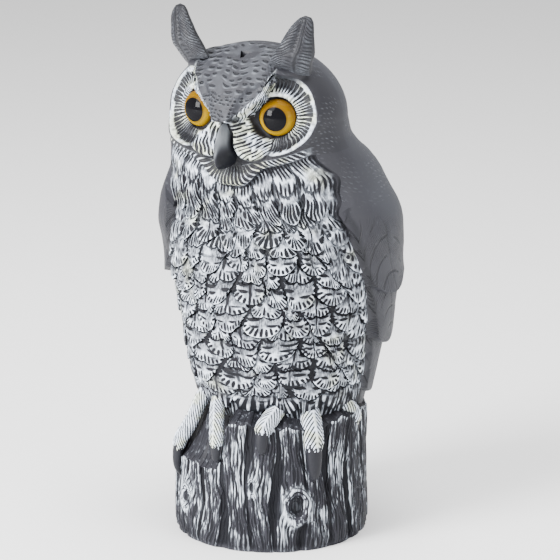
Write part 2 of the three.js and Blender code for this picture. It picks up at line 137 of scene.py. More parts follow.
def mix(a, b, share):
    return a + (b - a) * share


def bell(x, width):
    return growth(x / width * (x / -width))


def length_of(x, y):
    return root(x * x + y * y)


def chance(i, j=0, salt=0.0):
    """A number from 0 to 1 that looks random, for whole numbers i and j."""
    return fraction(sine(i * 12.9898 + j * 4.1414 + salt) * 43.7585)


def stripe(x, width, soft=0.12):
    """1 inside stripes centred on whole numbers of x, with that half-width, and 0 between."""
    near = size_of(fraction(x + 0.5) - 0.5)
    return 1 - smooth(width - soft, width + soft, near)


def patches(place, scale, stretch=(1, 1, 1), detail=3.0, offset=0.0):
    """Soft random patches, from 0 to 1, on a finish."""
    x, y, z = place
    joined = Wire.tree.nodes.new("ShaderNodeCombineXYZ")
    for socket, value, share in zip(joined.inputs, (x, y, z), stretch):
        feed(socket, value * (share * scale) + offset)
    noise = Wire.tree.nodes.new("ShaderNodeTexNoise")
    noise.inputs["Scale"].default_value = 1.0
    noise.inputs["Detail"].default_value = detail
    Wire.tree.links.new(joined.outputs[0], noise.inputs["Vector"])
    return Wire(noise.outputs[0])


def tinted(share, first, second):
    """A colour on the way from the first to the second."""
    node = Wire.tree.nodes.new("ShaderNodeMix")
    node.data_type = "RGBA"
    feed(node.inputs[0], share)
    for socket, colour in [(node.inputs[6], first), (node.inputs[7], second)]:
        feed(socket, (*colour, 1) if isinstance(colour, tuple) else colour)
    return node.outputs[2]


def toned(share, colour=BARE_PLASTIC):
    return tuple(share * c for c in colour)


def new_finish(name):
    """A new material with its shader, the place on the piece in millimetres, and the place
    along its skin."""
    material = bpy.data.materials.new(name)
    material.use_nodes = True
    tree = Wire.tree = material.node_tree
    where = tree.nodes.new("ShaderNodeTexCoord")
    places = []
    for kind in ("Object", "UV"):
        split = tree.nodes.new("ShaderNodeSeparateXYZ")
        tree.links.new(where.outputs[kind], split.inputs[0])
        places.append([Wire(socket) for socket in split.outputs])
    place = [axis * 1000 for axis in places[0]]
    return material, tree.nodes["Principled BSDF"], place, places[1][:2]


def painted_finish(name, look, satin=0.5, shine=0.15):
    """Moulded plastic with brushed-on paint. look(u, v, place) gives, all from 0 to 1, how deep
    the skin is cut, which darkens it and in places is painted shade, how much white paint covers
    it and how creamy that paint is, then its height in millimetres for the fine relief, and the
    colour of the bare plastic."""
    material, shader, place, (u, v) = new_finish(name)
    cut, paint, cream, height, bare = look(u, v, place)
    mottle = patches(place, 0.06, detail=5.0)
    colour = tinted(mottle, toned(0.86, bare), toned(1.14, bare))
    pigment = tinted(cream, WHITE_PAINT, CREAM_PAINT)
    colour = tinted(paint, colour, pigment)
    feed(shader.inputs["Base Color"], tinted(cut, colour, DARK_WASH_AND_SHADE))
    feed(shader.inputs["Roughness"], satin + 0.16 * mottle + 0.12 * paint)
    shader.inputs["Specular IOR Level"].default_value = shine
    grain = patches(place, 2.4, detail=2.0)
    bump = Wire.tree.nodes.new("ShaderNodeBump")
    bump.inputs["Distance"].default_value = 0.001
    feed(bump.inputs["Height"], height + 0.035 * grain)
    feed(shader.inputs["Normal"], bump.outputs[0])
    return material


def knot_place(knot, bearing, height):
    across = (bearing - knot["bearing"]) * (math.pi / 180 * STUMP_RADIUS / knot["wide"])
    return across, (height - knot["height"]) / knot["tall"]


def dashes(x, y, across, along, half_x, half_y, salt=0.0):
    """Short tapering marks scattered in staggered rows, with each mark's own random number."""
    row = y / along
    k = floor(row)
    column = x / across + 0.5 * k + 0.4 * chance(k, 0, salt)
    i = floor(column)
    luck = chance(i, k, salt)
    dx = (column - i - 0.5 + 0.3 * (luck - 0.5)) * across
    dy = (row - k - 0.5 + 0.3 * (chance(i, k, salt + 1.9) - 0.5)) * along
    return 1 - smooth(0.6, 1.25, length_of(dx / half_x, dy / half_y)), luck


def bark_channels(plate, height):
    """Wide dark channels between the plates of bark, and how near a place is to one's edge."""
    near = size_of(fraction(plate + 0.5) - 0.5)
    number = floor(plate + 0.5)
    strength = 0.5 + 0.5 * sine(number * 2.4 + height / 24)
    wide = 0.03 + 0.13 * strength * strength + 0.02 * sine(height / 5 + number * 3)
    return 1 - smooth(wide, wide + 0.05, near), bell((near - wide - 0.06) / 0.04, 1.0)


def bark_cut(plate, bearing, height):
    """Depth of the bark's channels and of its finer grain, which bends round the knots."""
    turn = plate * (2 * math.pi / BARK_PLATES)
    line = 8 * plate + 0.6 * sine(3 * turn + height / 33) + 0.35 * sine(8 * turn - height / 12 + 2)
    line = line + 0.2 * sine(17 * turn + height / 5 + 1) + 0.1 * sine(41 * turn - height / 2.7)
    channel, _ = bark_channels(plate, height)
    knotty, clear = 0.0, 1.0
    for knot in KNOTS:
        across, up = knot_place(knot, bearing, height)
        away = length_of(across, up)
        line = line + 0.9 * across / most(away, 0.3) * bell(away - 0.7, 0.8)
        rings = stripe(away * 3.2 + 0.2 * sine(up * 5 + across * 3), 0.17, 0.13)
        rings = rings * (1 - smooth(1.1, 1.5, away)) * smooth(-1.2, 0.2, up + 0.6 * across)
        knotty = most(knotty, most(rings, 0.8 * (1 - smooth(0.45, 0.7, away))))
        clear = clear * smooth(0.95, 1.6, away)
    number = floor(line + 0.5)
    width = 0.2 + 0.13 * sine(number * 2.1 + height / 13) + 0.06 * sine(number * 5 - height / 4)
    grooves = stripe(line, width, 0.09)
    strands = stripe(line * 2.6 + 0.4 * sine(7 * turn + height / 7), 0.17, 0.13)
    strands = strands * smooth(-0.2, 0.5, sine(number * 4 + height / 8))
    return most(channel * clear, knotty), most(grooves, 0.55 * strands) * clear


def bark_relief(plate, bearing, height):
    """Height of the bark's main forms over the trunk, as moulded."""
    groove = size_of(fraction(plate + 0.5) - 0.5)
    strength = 0.65 + 0.35 * sine(floor(plate + 0.5) * 2.4 + height / 24)
    relief = BARK_DEPTH * strength * (smooth(0, 0.3, groove) - 1)
    relief = relief + 0.8 * sine(floor(plate) * 5.1 + height / 23) - 0.3
    for knot in KNOTS:
        across, up = knot_place(knot, bearing, height)
        away = length_of(across, up)
        relief = relief * smooth(0.8, 1.7, away) + knot["lip"] * bell(away - 1.05, 0.3)
        relief = relief - knot["hollow"] * (1 - smooth(0.35, 0.95, away))
    return relief


def plate_bearing(plate, height):
    return 360 / BARK_PLATES * (plate + 0.1 * np.sin(height / 17 + plate * 1.7)) - 180


def rim_height(bearing):
    turn = bearing * (math.pi / 180)
    away = size_of(bearing - NOTCH["bearing"]) / NOTCH["half"]
    ragged = 1.6 * sine(5 * turn + math.radians(20)) + 1.2 * sine(11 * turn)
    ragged = ragged + 0.9 * sine(29 * turn) + 0.7 * sine(47 * turn + 1)
    return STUMP_HEIGHT - 2 - NOTCH["depth"] * (1 - smooth(0.88, 1.08, away)) + ragged


def stump_ring(bearing, height, inset, relief):
    share = height / STUMP_HEIGHT
    drawn = STUMP_WAIST * smooth(0.12, 0.7, share) + FOOT_ROUND * (1 - smooth(0, 0.06, share))
    r = STUMP_RADIUS - drawn - inset + relief
    turn = np.radians(bearing)
    return np.stack([r * np.sin(turn), -r * np.cos(turn), height + 0 * r], axis=-1)


def skin(name, rings, start, end, marks, finishes, seam_step=0):
    """A closed mesh through rings of points, in millimetres, with a point at each end. marks
    holds each point's place on the skin, finishes the finish of each band of faces, and
    seam_step how far the first mark moves on in one turn."""
    rings = np.asarray(rings, float)
    marks = np.asarray(marks, float)
    rows, n = rings.shape[:2]
    points = np.concatenate([[start], rings.reshape(-1, 3), [end]]) / 1000
    low = 1 + np.arange(rows - 1)[:, None] * n + np.arange(n)
    right = 1 + np.arange(rows - 1)[:, None] * n + (np.arange(n) + 1) % n
    quads = np.stack([low, right, right + n, low + n], axis=-1).reshape(-1, 4)
    around = np.arange(n)
    bottom = [(0, 1 + (i + 1) % n, 1 + i) for i in around]
    last = 1 + (rows - 1) * n
    top = [(rows * n + 1, last + i, last + (i + 1) % n) for i in around]
    mesh = bpy.data.meshes.new(name)
    mesh.from_pydata(points.tolist(), [], quads.tolist() + bottom + top)
    # the last column's neighbour is the first one, one turn further on
    flat = np.concatenate([[marks[0, 0]], marks.reshape(-1, 2), [marks[-1, 0]]])
    corner = flat[quads]
    seam = np.zeros(len(quads), bool)
    seam[n - 1 :: n] = True
    ahead = marks[:, 0, 0] + seam_step
    for place, shift in ((1, 0), (2, 1)):
        corner[seam, place, 0] = ahead[shift : shift + rows - 1]
    caps = flat[np.array(bottom + top)]
    places = np.concatenate([corner.reshape(-1, 2), caps.reshape(-1, 2)])
    layer = mesh.uv_layers.new(name="skin")
    layer.data.foreach_set("uv", places.ravel().astype(np.float32))
    bands = np.asarray(finishes, np.int32)
    kinds = np.concatenate([bands.reshape(-1), bands[0], bands[-1]])
    mesh.polygons.foreach_set("material_index", kinds)
    mesh.polygons.foreach_set("use_smooth", np.ones(len(kinds), bool))
    mesh.update()
    made = bpy.data.objects.new(name, mesh)
    bpy.context.scene.collection.objects.link(made)
    return made


FINISHES = ["bark", "break", "belly", "wing", "face", "nape", "ear", "beak", "toe", "claw"]


def finish_number(name):
    return FINISHES.index(name)


def bark_look(u, v, place):
    x, y, z = place
    bearing = angle_of(x, -y) * (180 / math.pi)
    channel, grooves = bark_cut(u, bearing, v)
    _, lip = bark_channels(u, v)
    worn = patches(place, 0.75, (1, 1, 0.13), 4.0)
    broad = patches(place, 0.06, (1, 1, 0.45), 3.0, 7.0)
    rim = smooth(rim_height(bearing) - 2.6, rim_height(bearing) - 1.2, z)
    edge = grooves * (1 - grooves) * 4
    ready = worn + 1.1 * (broad - 0.53) + 0.12 * lip + 0.16 * rim + 0.1 * edge
    # more paint sits on the lips of the two bigger knots, and less at the foot
    for knot in KNOTS[:2]:
        across, up = knot_place(knot, bearing, v)
        ready = ready + 0.2 * bell(length_of(across, up) - 1.15, 0.3)
    foot = mix(0.25, 1.0, smooth(3, 18, z))
    paint = smooth(0.5, 0.66, ready) * (1 - grooves) * (1 - channel) * foot
    cut = most(channel * 0.85, grooves * 0.9) * smooth(0, 5, z)
    seam = bell(y, 0.35)
    height = -0.9 * channel - 0.8 * grooves + 0.3 * worn + 0.3 * seam
    return cut, paint * 0.84, 0.03, height, toned(1.25)


def break_look(u, v, place):
    boards = stripe(u * 4, 0.07, 0.06)
    scuffs = patches(place, 0.4, (1, 1, 0.3), 4.0)
    paint = smooth(0.56, 0.76, scuffs) * 0.16
    return boards * 0.6, paint, 0.0, -0.5 * boards + 0.2 * scuffs, toned(0.8)


def stump_skin():
    # the plates that face forward have finer columns than those behind
    front_from, front_to, coarse, fine = 5, 17, 1 / 8, 1 / 14
    front = np.arange(front_from, front_to, fine)
    right, left = np.arange(0, front_from, coarse), np.arange(front_to, BARK_PLATES, coarse)
    plates = np.concatenate([right, front, left])
    shares = np.concatenate([[0, 0.012, 0.03], np.linspace(0.05, 0.97, 44)])
    rings, marks, bands = [], [], []
    for share in shares:
        bearing = plate_bearing(plates, share * STUMP_HEIGHT)
        height = share * rim_height(bearing)
        relief = bark_relief(plates, bearing, height)
        channel, grooves = bark_cut(plates, bearing, height)
        relief = (relief - 0.9 * channel - 0.7 * grooves) * (0.4 + 0.6 * smooth(0, 0.04, share))
        rings.append(stump_ring(bearing, height, 0, relief))
        marks.append(np.stack([plates, height], axis=-1))
        bands.append(np.full(len(plates), finish_number("bark")))
    bearing = plate_bearing(plates, STUMP_HEIGHT)
    for share in [0.0, 0.08, 0.18, 0.3, 0.42, 0.55, 0.7, 0.85, 1.0]:
        rim = rim_height(bearing) + 2 * smooth(0, 0.1, share)
        rise = mix(rim, STUMP_HEIGHT + LEDGE_RISE, share**1.5)
        inset = RIM_ROUND * smooth(-0.1, 0.12, share) + share * LEDGE_WIDTH
        rings.append(stump_ring(bearing, rise, inset, 0 * bearing))
        marks.append(np.stack([plates, rise], axis=-1))
        bands.append(np.full(len(plates), finish_number("break")))
    top = (0, 0, STUMP_HEIGHT + LEDGE_RISE)
    return skin("stump", rings, (0, 0, 0), top, marks, bands[:-1], BARK_PLATES)


stump = stump_skin()

# The bird's body, moulded in one with the stump: breast feathers in rows of overlapping
# tongues, each with a midrib, side dashes and slits along its tip, painted white over dark,
# and bare dark wings folded behind them, in three tiers. It stands turned to its left.
BODY_TURN = 11
BODY_SHIFT = 5
FEATHER_RELIEF = 2.4
SECTIONS = np.array(
    [
        # height, breast wide, breast deep, wing wide, wing deep, back, centre, wing edge
        [-14, 54, 60, 70, 66, 60, 11, 84],
        [6, 61, 66, 75, 66, 63, 10.5, 82],
        [14, 64, 69, 77, 66, 65, 10.5, 81],
        [30, 68, 75, 81.5, 66, 67, 10, 79.5],
        [46, 71, 78, 85, 66, 69, 10, 77.5],
        [62, 73.5, 80, 88, 66, 71, 10, 75],
        [77, 76.5, 81, 90, 66, 73, 10, 72],
        [93, 80.5, 81, 91.5, 66, 74, 10, 68.5],
        [109, 83.5, 80, 91.5, 68, 75, 9, 64.5],
        [125, 84.5, 78, 93, 68, 75, 7.5, 61],
        [140, 84, 74, 94, 68, 75, 4.5, 59],
        [156, 81, 69, 92.5, 66, 74, 4, 58.5],
        [171, 76, 62, 88, 64, 74, 3, 60],
        [179, 73.5, 58, 85, 60, 74, 1.5, 63],
        [187, 72.5, 54, 82, 56, 75, -3, 66],
        [195, 71, 50, 78, 50, 75, -9, 68],
        [203, 70, 47, 73.5, 46, 72, -16, 70],
        [214, 68, 46, 68.5, 46, 67, -20, 70],
        [226, 66.5, 46, 66.5, 46, 64, -20.5, 70],
    ]
)
HEAD_CENTRE = 226
CROWN_HEIGHT = 280
FEATHER_EDGES = [12, 33, 55, 77, 99, 121, 142, 160]
FEATHERS_ACROSS = 9
FEATHER_HANG = 10
WING_TIERS = {4: (4, 12), 2: (4.5, 9), 0: (3, 6)}
WING_FEATHERS = 3
RIGHT_TUCK = 3
FEATHER_HALF = 10.5
FEATHER_PITCH = 20.4
ROW_PITCH = 21
WING_FEATHER_SPAN = 50
HALF_ROW = FEATHERS_ACROSS / 2
FEATHER_COLUMNS = 24
WING_COLUMNS = 26
EDGE_GAP = 1.6
BIRD_FOOT = -14
NECK = (146, 180)


def through(table, column):
    """A smooth curve through one column of a table whose first column rises."""
    x, y = table[:, 0], table[:, column]
    slope = np.diff(y) / np.diff(x)
    tangent = np.zeros(len(y))
    tangent[0], tangent[-1] = slope[0], slope[-1]
    a, b = slope[:-1], slope[1:]
    total = np.where(a * b > 0, a + b, 1)
    tangent[1:-1] = np.where(a * b > 0, 2 * a * b / total, 0)

    def value(at):
        p = np.clip(at, x[0], x[-1])
        i = np.clip(np.searchsorted(x, p, side="left") - 1, 0, len(x) - 2)
        h = x[i + 1] - x[i]
        t = (p - x[i]) / h
        bend = y[i] * (2 * t**3 - 3 * t**2 + 1) + y[i + 1] * (3 * t**2 - 2 * t**3)
        lean = tangent[i] * (t**3 - 2 * t**2 + t) + tangent[i + 1] * (t**3 - t**2)
        return bend + h * lean

    return value


def oval(bearing, wide, deep, n):
    turn = np.radians(bearing)
    across = np.abs(np.sin(turn) / wide) ** n
    along = np.abs(np.cos(turn) / deep) ** n
    return (across + along) ** (-1 / n)


profile = [through(SECTIONS, column) for column in range(8)]
# the skin's columns: the right wing from the spine forwards, the breast, and the left wing
breast_columns = np.linspace(-HALF_ROW, HALF_ROW, FEATHER_COLUMNS * FEATHERS_ACROSS + 1)
left_wing = np.arange(WING_COLUMNS + 1) / WING_COLUMNS
right_wing = left_wing[WING_COLUMNS - 1 :: -1]
share_of = np.concatenate([right_wing, 0 * breast_columns, left_wing])
region = np.repeat([-1, 0, 1], [len(right_wing), len(breast_columns), len(left_wing)])
on_wing = region != 0
across_of = region * HALF_ROW
across_of[~on_wing] = breast_columns
side_of = np.where(on_wing, region, np.sign(across_of + 1e-9))


def wing_edge(height):
    """Bearing of the front edge of each wing. Both lie further back at the shoulder, and the
    right one low down too."""
    shoulder = 8.5 * smooth(158, 172, height) * (1 - smooth(186, 204, height))
    return profile[7](height) + shoulder + 10 * (1 - smooth(88, 102, height)) * (side_of < 0)


def bearing_of(edge, sway=0.0):
    calm = 1 - (across_of / HALF_ROW) ** 4
    front = (edge - EDGE_GAP) * (across_of + sway * calm) / HALF_ROW
    behind = side_of * mix(edge + EDGE_GAP, 180, share_of**1.1)
    return np.where(on_wing, behind, front)


def edge_line(k):
    """Height of the tips of one row of feathers, column by column."""
    phase = fraction(across_of + k / 2 + 0.5)
    front = FEATHER_EDGES[k] + FEATHER_HANG * ((2 * phase - 1) ** 2 - 0.5)
    number = floor(across_of + k / 2 + 0.5)
    own, next_one = chance(number, k, 0.6), chance(number + 1, k, 0.6)
    uneven = mix(own, next_one, smooth(0.8, 1.0, phase)) - 0.5
    sagging = 7 * uneven + 1.6 * np.sin(1.9 * across_of + 1.9 * k)
    front = front + sagging * (1 - (across_of / HALF_ROW) ** 8)
    tier = WING_TIERS.get(k)
    if tier is None:
        return np.where(on_wing, FEATHER_EDGES[k], front)
    sway = fraction(share_of * WING_FEATHERS)
    wing = FEATHER_EDGES[k] + tier[1] * ((2 * sway - 1) ** 2 - 0.5) + 3 * share_of
    return np.where(on_wing, wing, front)


def wing_drop(k, t):
    drop = (RIGHT_TUCK if k < 4 else 0) * (side_of < 0)
    for edge, (step, _) in WING_TIERS.items():
        if edge > k:
            drop = drop + step
        if edge == k:
            drop = drop - 1.2 * (1 - t)
    return drop


def feather_at(u, v):
    """The breast feather that shows at a place of the skin: two numbers that name it, and the
    place in it in millimetres, across from its midrib, up from its tip and below the next."""
    k = floor(v)
    t = v - k
    phase = u + k / 2 + 0.5
    i = floor(phase)
    side = 2 * (phase - i) - 1
    reach = 32 - 20 * side * side
    y = 10 * side * side + t * reach
    # a second, shorter feather lies on the upper part of most of them
    second = chance(i, k, 4.4)
    step = 15 + 5 * side * side + 9 * power(second, 6)
    upper = smooth(-0.01, 0.01, y - step)
    above_tip = mix(t * reach, y - step, upper)
    below_next = mix(least((1 - t) * reach, step - y), (1 - t) * reach, upper)
    return i, 2 * k + upper, FEATHER_HALF * side, y, above_tip, below_next


def breast_marks(u, v):
    """The gaps round a breast feather, with a painted shadow under the tip above, the marks cut in
    it, and how thickly it is painted, thinning upwards partly as painted shade.
    """
    i, k, x, y, above_tip, below_next = feather_at(u, v)
    luck, other = chance(i, k), chance(i, k, 2.6)
    throat = smooth(5.3, 6.1, v + 0.35 * sine(u * 7 + 1))
    flank = smooth(3.2, 3.9, size_of(u) + 0.3 * sine(v * 5))
    ragged = 0.4 * sine(y * 1.6 + 6 * luck) + 0.25 * sine(y * 3.7 - x)
    gap = 1 - smooth(0.4, 1.2, FEATHER_HALF - size_of(x) + ragged - 1.2 * luck)
    # painted shadow: a dark band along each feather just under the tip of the one above
    ragged = 0.4 * sine(x * 1.3 + 9 * other) + 0.25 * sine(x * 2.9 + y)
    gap = most(gap, 1 - smooth(0.9, 1.7, below_next + ragged - 1.0 * other))
    # slits that fan out to the tip, short on the breast and long on the throat
    fan = angle_of(x + 2 * (luck - 0.5), 22 - above_tip - 0.05 * x * x)
    fan = fan / (0.115 + 0.05 * throat) + luck
    number = floor(fan + 0.5)
    longest = 4 + 3.5 * chance(number, i + 3 * k) + 4.5 * throat
    along = 2 * above_tip / longest - 1
    tapered = 0.15 + 0.17 * (1 - along * along) + 0.08 * throat
    closed = smooth(0.2, 0.9, above_tip + 1.5 * smooth(0.45, 0.55, other))
    slits = stripe(fan, tapered, 0.09) * (1 - smooth(-1.2, 0, above_tip - longest)) * closed
    # a lens-shaped cut or two on each side of a thin midrib
    side = smooth(-0.1, 0.1, x)
    step = (y - 3 * other - 2.5 * side * luck) / 5.6
    j = floor(step)
    dash_luck = chance(j + 7 * side, i + 3 * k, 0.4)
    dx = size_of(x) - 5.2 - 1.6 * (dash_luck - 0.5)
    dy = (step - j - 0.5) * 5.6 + 0.05 * dx * dx
    dash = 1 - smooth(0.7, 1.1, length_of(dx / (3.0 + 1.8 * dash_luck), dy / (1.3 + 0.5 * luck)))
    dash = dash * smooth(5, 7, above_tip) * smooth(0.1, 0.16, dash_luck) * (1 - throat)
    rib = 1 - smooth(0.45, 1.1, size_of(x + 0.8 * sine(y / 5 + 6 * luck)))
    rib = rib * smooth(4, 7, above_tip) * smooth(0.45, 0.55, other)
    marks = most(most(slits, dash), rib)
    # a few longer gashes low down, and short slanting strokes on the flanks
    across, up = u * FEATHER_PITCH, v * ROW_PITCH
    gash, gash_luck = dashes(across, up + 0.1 * across, 21, 10.5, 8.5, 1.1, 2.2)
    low_down = (1 - smooth(2.2, 3.2, v)) * smooth(0.45, 0.5, gash_luck)
    marks = most(marks, gash * low_down)
    hair, _ = dashes(size_of(across) - 0.45 * up, up, 3.4, 6.5, 1.15, 2.4, 5.1)
    tuft, _ = dashes(across + 0.7 * sine(up / 5), up, 3.7, 9, 1.25, 3.5, 3.3)
    marks = mix(marks, hair, flank * (1 - throat))
    marks = mix(marks, tuft, most(flank * throat, smooth(7.35, 7.5, v + 0.15 * sine(u * 7))))
    # a ragged fringe over the feet
    fringe, _ = dashes(across, up, 3.6, 15, 0.9, 8, 7.7)
    low = 1 - smooth(0.25, 0.5, v + 0.1 * sine(u * 9))
    marks = mix(marks, 1 - fringe, low)
    # paint thick near the tip and thin further up, which is partly painted shade under the row above
    thick_and_lit = 1 - smooth(3, 13, above_tip) * (1 - 0.6 * throat)
    return gap * (1 - 0.5 * flank) * (1 - 0.2 * throat) * (1 - low), marks, thick_and_lit


def breast_rise(u, v):
    """Swelling of a breast feather between its gaps."""
    _, _, x, _, _, below_next = feather_at(u, v)
    return 0.9 * (1 - power(size_of(x) / FEATHER_HALF, 2.5)) * smooth(0, 5, below_next)


def belly_look(u, v, place):
    gap, marks, thick_and_lit = breast_marks(u, v)
    brushed = patches(place, 0.16, detail=5.0)
    thin = patches(place, 0.9, (1, 1, 0.35), 3.0, 5.0)
    cover = mix(0.14, 1.0, thick_and_lit) * mix(0.26, 1.0, smooth(0.43, 0.62, brushed))
    cover = cover + 0.25 * smooth(0.48, 0.6, thin)
    low_edge = smooth(-0.6, 0.1, v + 0.1 * sine(u * 20))
    side_edge = 1 - smooth(4.0, 4.35, size_of(u) + 0.9 * (brushed - 0.5)) * smooth(5.6, 6.2, v)
    paint = (1 - most(gap, marks)) * least(cover, 1.0) * low_edge * side_edge
    cream = smooth(0.55, 0.75, patches(place, 0.045, detail=2.0, offset=3.0)) * 0.6
    cut = most(gap * 0.85, marks * 0.95)
    height = -1.0 * gap - 0.6 * marks + 0.12 * thin
    return cut, paint, cream, height, toned(0.8)


def painted_light_behind(place):
    """Painted light: the plastic is painted a little paler towards the back."""
    cloud = patches(place, 0.03, detail=3.0, offset=8.0)
    return 0.028 * smooth(-35, 25, place[1] + 30 * (cloud - 0.5))


def wing_look(u, v, place):
    z = place[2]
    along = fraction(v / 2) * 44
    feather = u / WING_FEATHER_SPAN
    across = (fraction(feather) - 0.5) * WING_FEATHER_SPAN
    shaft = bell(across, 0.8)
    barbs = stripe((along + size_of(across) * 1.3) / 2.6, 0.18, 0.16)
    barbs = barbs * smooth(0.42, 0.56, patches(place, 0.07, detail=2.0))
    scallop = stripe((z + 0.05 * across * across) / 15 + chance(floor(feather)) * 0.5, 0.06, 0.03)
    scallop = scallop * smooth(0.44, 0.54, patches(place, 0.05, detail=1.0, offset=9.0))
    # painted shadow along the wing's front edge, which stands proud of the breast
    edge = 1 - smooth(0.5, 4.5, u)
    top = 1 - smooth(6.2, 7, v)
    shaft, barbs, scallop = shaft * top, barbs * top, scallop * top
    cut = 0.35 * shaft + 0.25 * barbs + 0.45 * scallop + 0.6 * edge
    scuff = smooth(0.6, 0.8, patches(place, 0.35, (1, 1, 0.6), 4.0, 2.0))
    height = -0.5 * shaft - 0.35 * barbs - 0.8 * scallop
    paint = mix(0.5, 1.0, smooth(5.4, 7, v)) * painted_light_behind(place) + scuff * 0.03
    return least(cut, 1.0), paint, 0.0, height, BARE_PLASTIC


# The head and its face, still the same moulding: a V of brow ridges that overhang the eyes,
# round discs of fine feathers with a smooth white rim, cheek lobes beside the beak, a ruff of
# short bars below, and a bare crown nicked with small crescents. The nape has short strokes.
EYE_ACROSS = 33
EYE_HEIGHT = 232
DISC = {"half": 27.5, "below": 24.5, "above": 31.0}
LOBE = {"across": 18.5, "half": 14}
EYE_RAYS = 54
RUFF_BAR = 3.5
BROW_STRAND = 3.0


def brow_line(across):
    steep = most(across - 22, 0.0)
    return least(231 + 0.95 * most(across - 6, 0.0) + 0.097 * steep * steep, 268.0)


def ruff_line(across):
    return 181 + 13.5 * smooth(8, 31, across) + 13.5 * power(least(across, 60.0) / 60, 2.2)


def eye_disc(x, height):
    """Distance from an eye's middle, where 1 is the edge of the disc round it."""
    dx, dz = x - EYE_ACROSS, height - EYE_HEIGHT
    tall = mix(DISC["below"], DISC["above"], smooth(-1, 1, dz))
    return dx, dz, length_of(dx / DISC["half"], dz / tall)


def cheek_lobe(x, height, middle, tall):
    """Distance from the middle of a cheek's lobe, where 1 is its edge."""
    return length_of((x - LOBE["across"]) / LOBE["half"], (height - middle) / tall)


def face_relief(x, height):
    """The face's main forms: the discs, hollows, lobes, brows and ruff."""
    dx, dz, disc = eye_disc(x, height)
    lobe = cheek_lobe(x, height, 212, 13)
    relief = -5.5 * (1 - smooth(0.75, 1, disc))
    relief = relief + 3 * bell(disc - 1.06, 0.1) * smooth(-8, 12, dx)
    relief = relief - 7 * (1 - smooth(0.42, 0.68, length_of(dx / 27, dz / 27)))
    relief = relief + 2.2 * (1 - smooth(0.7, 1, lobe)) * smooth(3, 9, x)
    relief = relief - 1.5 * bell(lobe - 1.12, 0.14)
    relief = relief + 1.5 * bell(x - 7, 6) * bell(height - 212, 14)
    brow = height - brow_line(x)
    overhang = smooth(mix(-3.6, -8.5, smooth(8, 18, x)), 0, brow)
    relief = relief + 10 * overhang * growth(most(brow, 0.0) / -26) * (1 - smooth(46, 62, x))
    ruff = height - ruff_line(x)
    relief = relief + 4.5 * bell(x, 17) * smooth(-3, 2, ruff) * (1 - smooth(6, 22, ruff))
    front = 1 - smooth(52, 66, x)
    relief = relief + 4.4 * smooth(-2.4, 0, ruff) * (1 - smooth(3, 15, ruff)) * front
    return relief - 1.8 * bell(ruff + 5, 4) * front


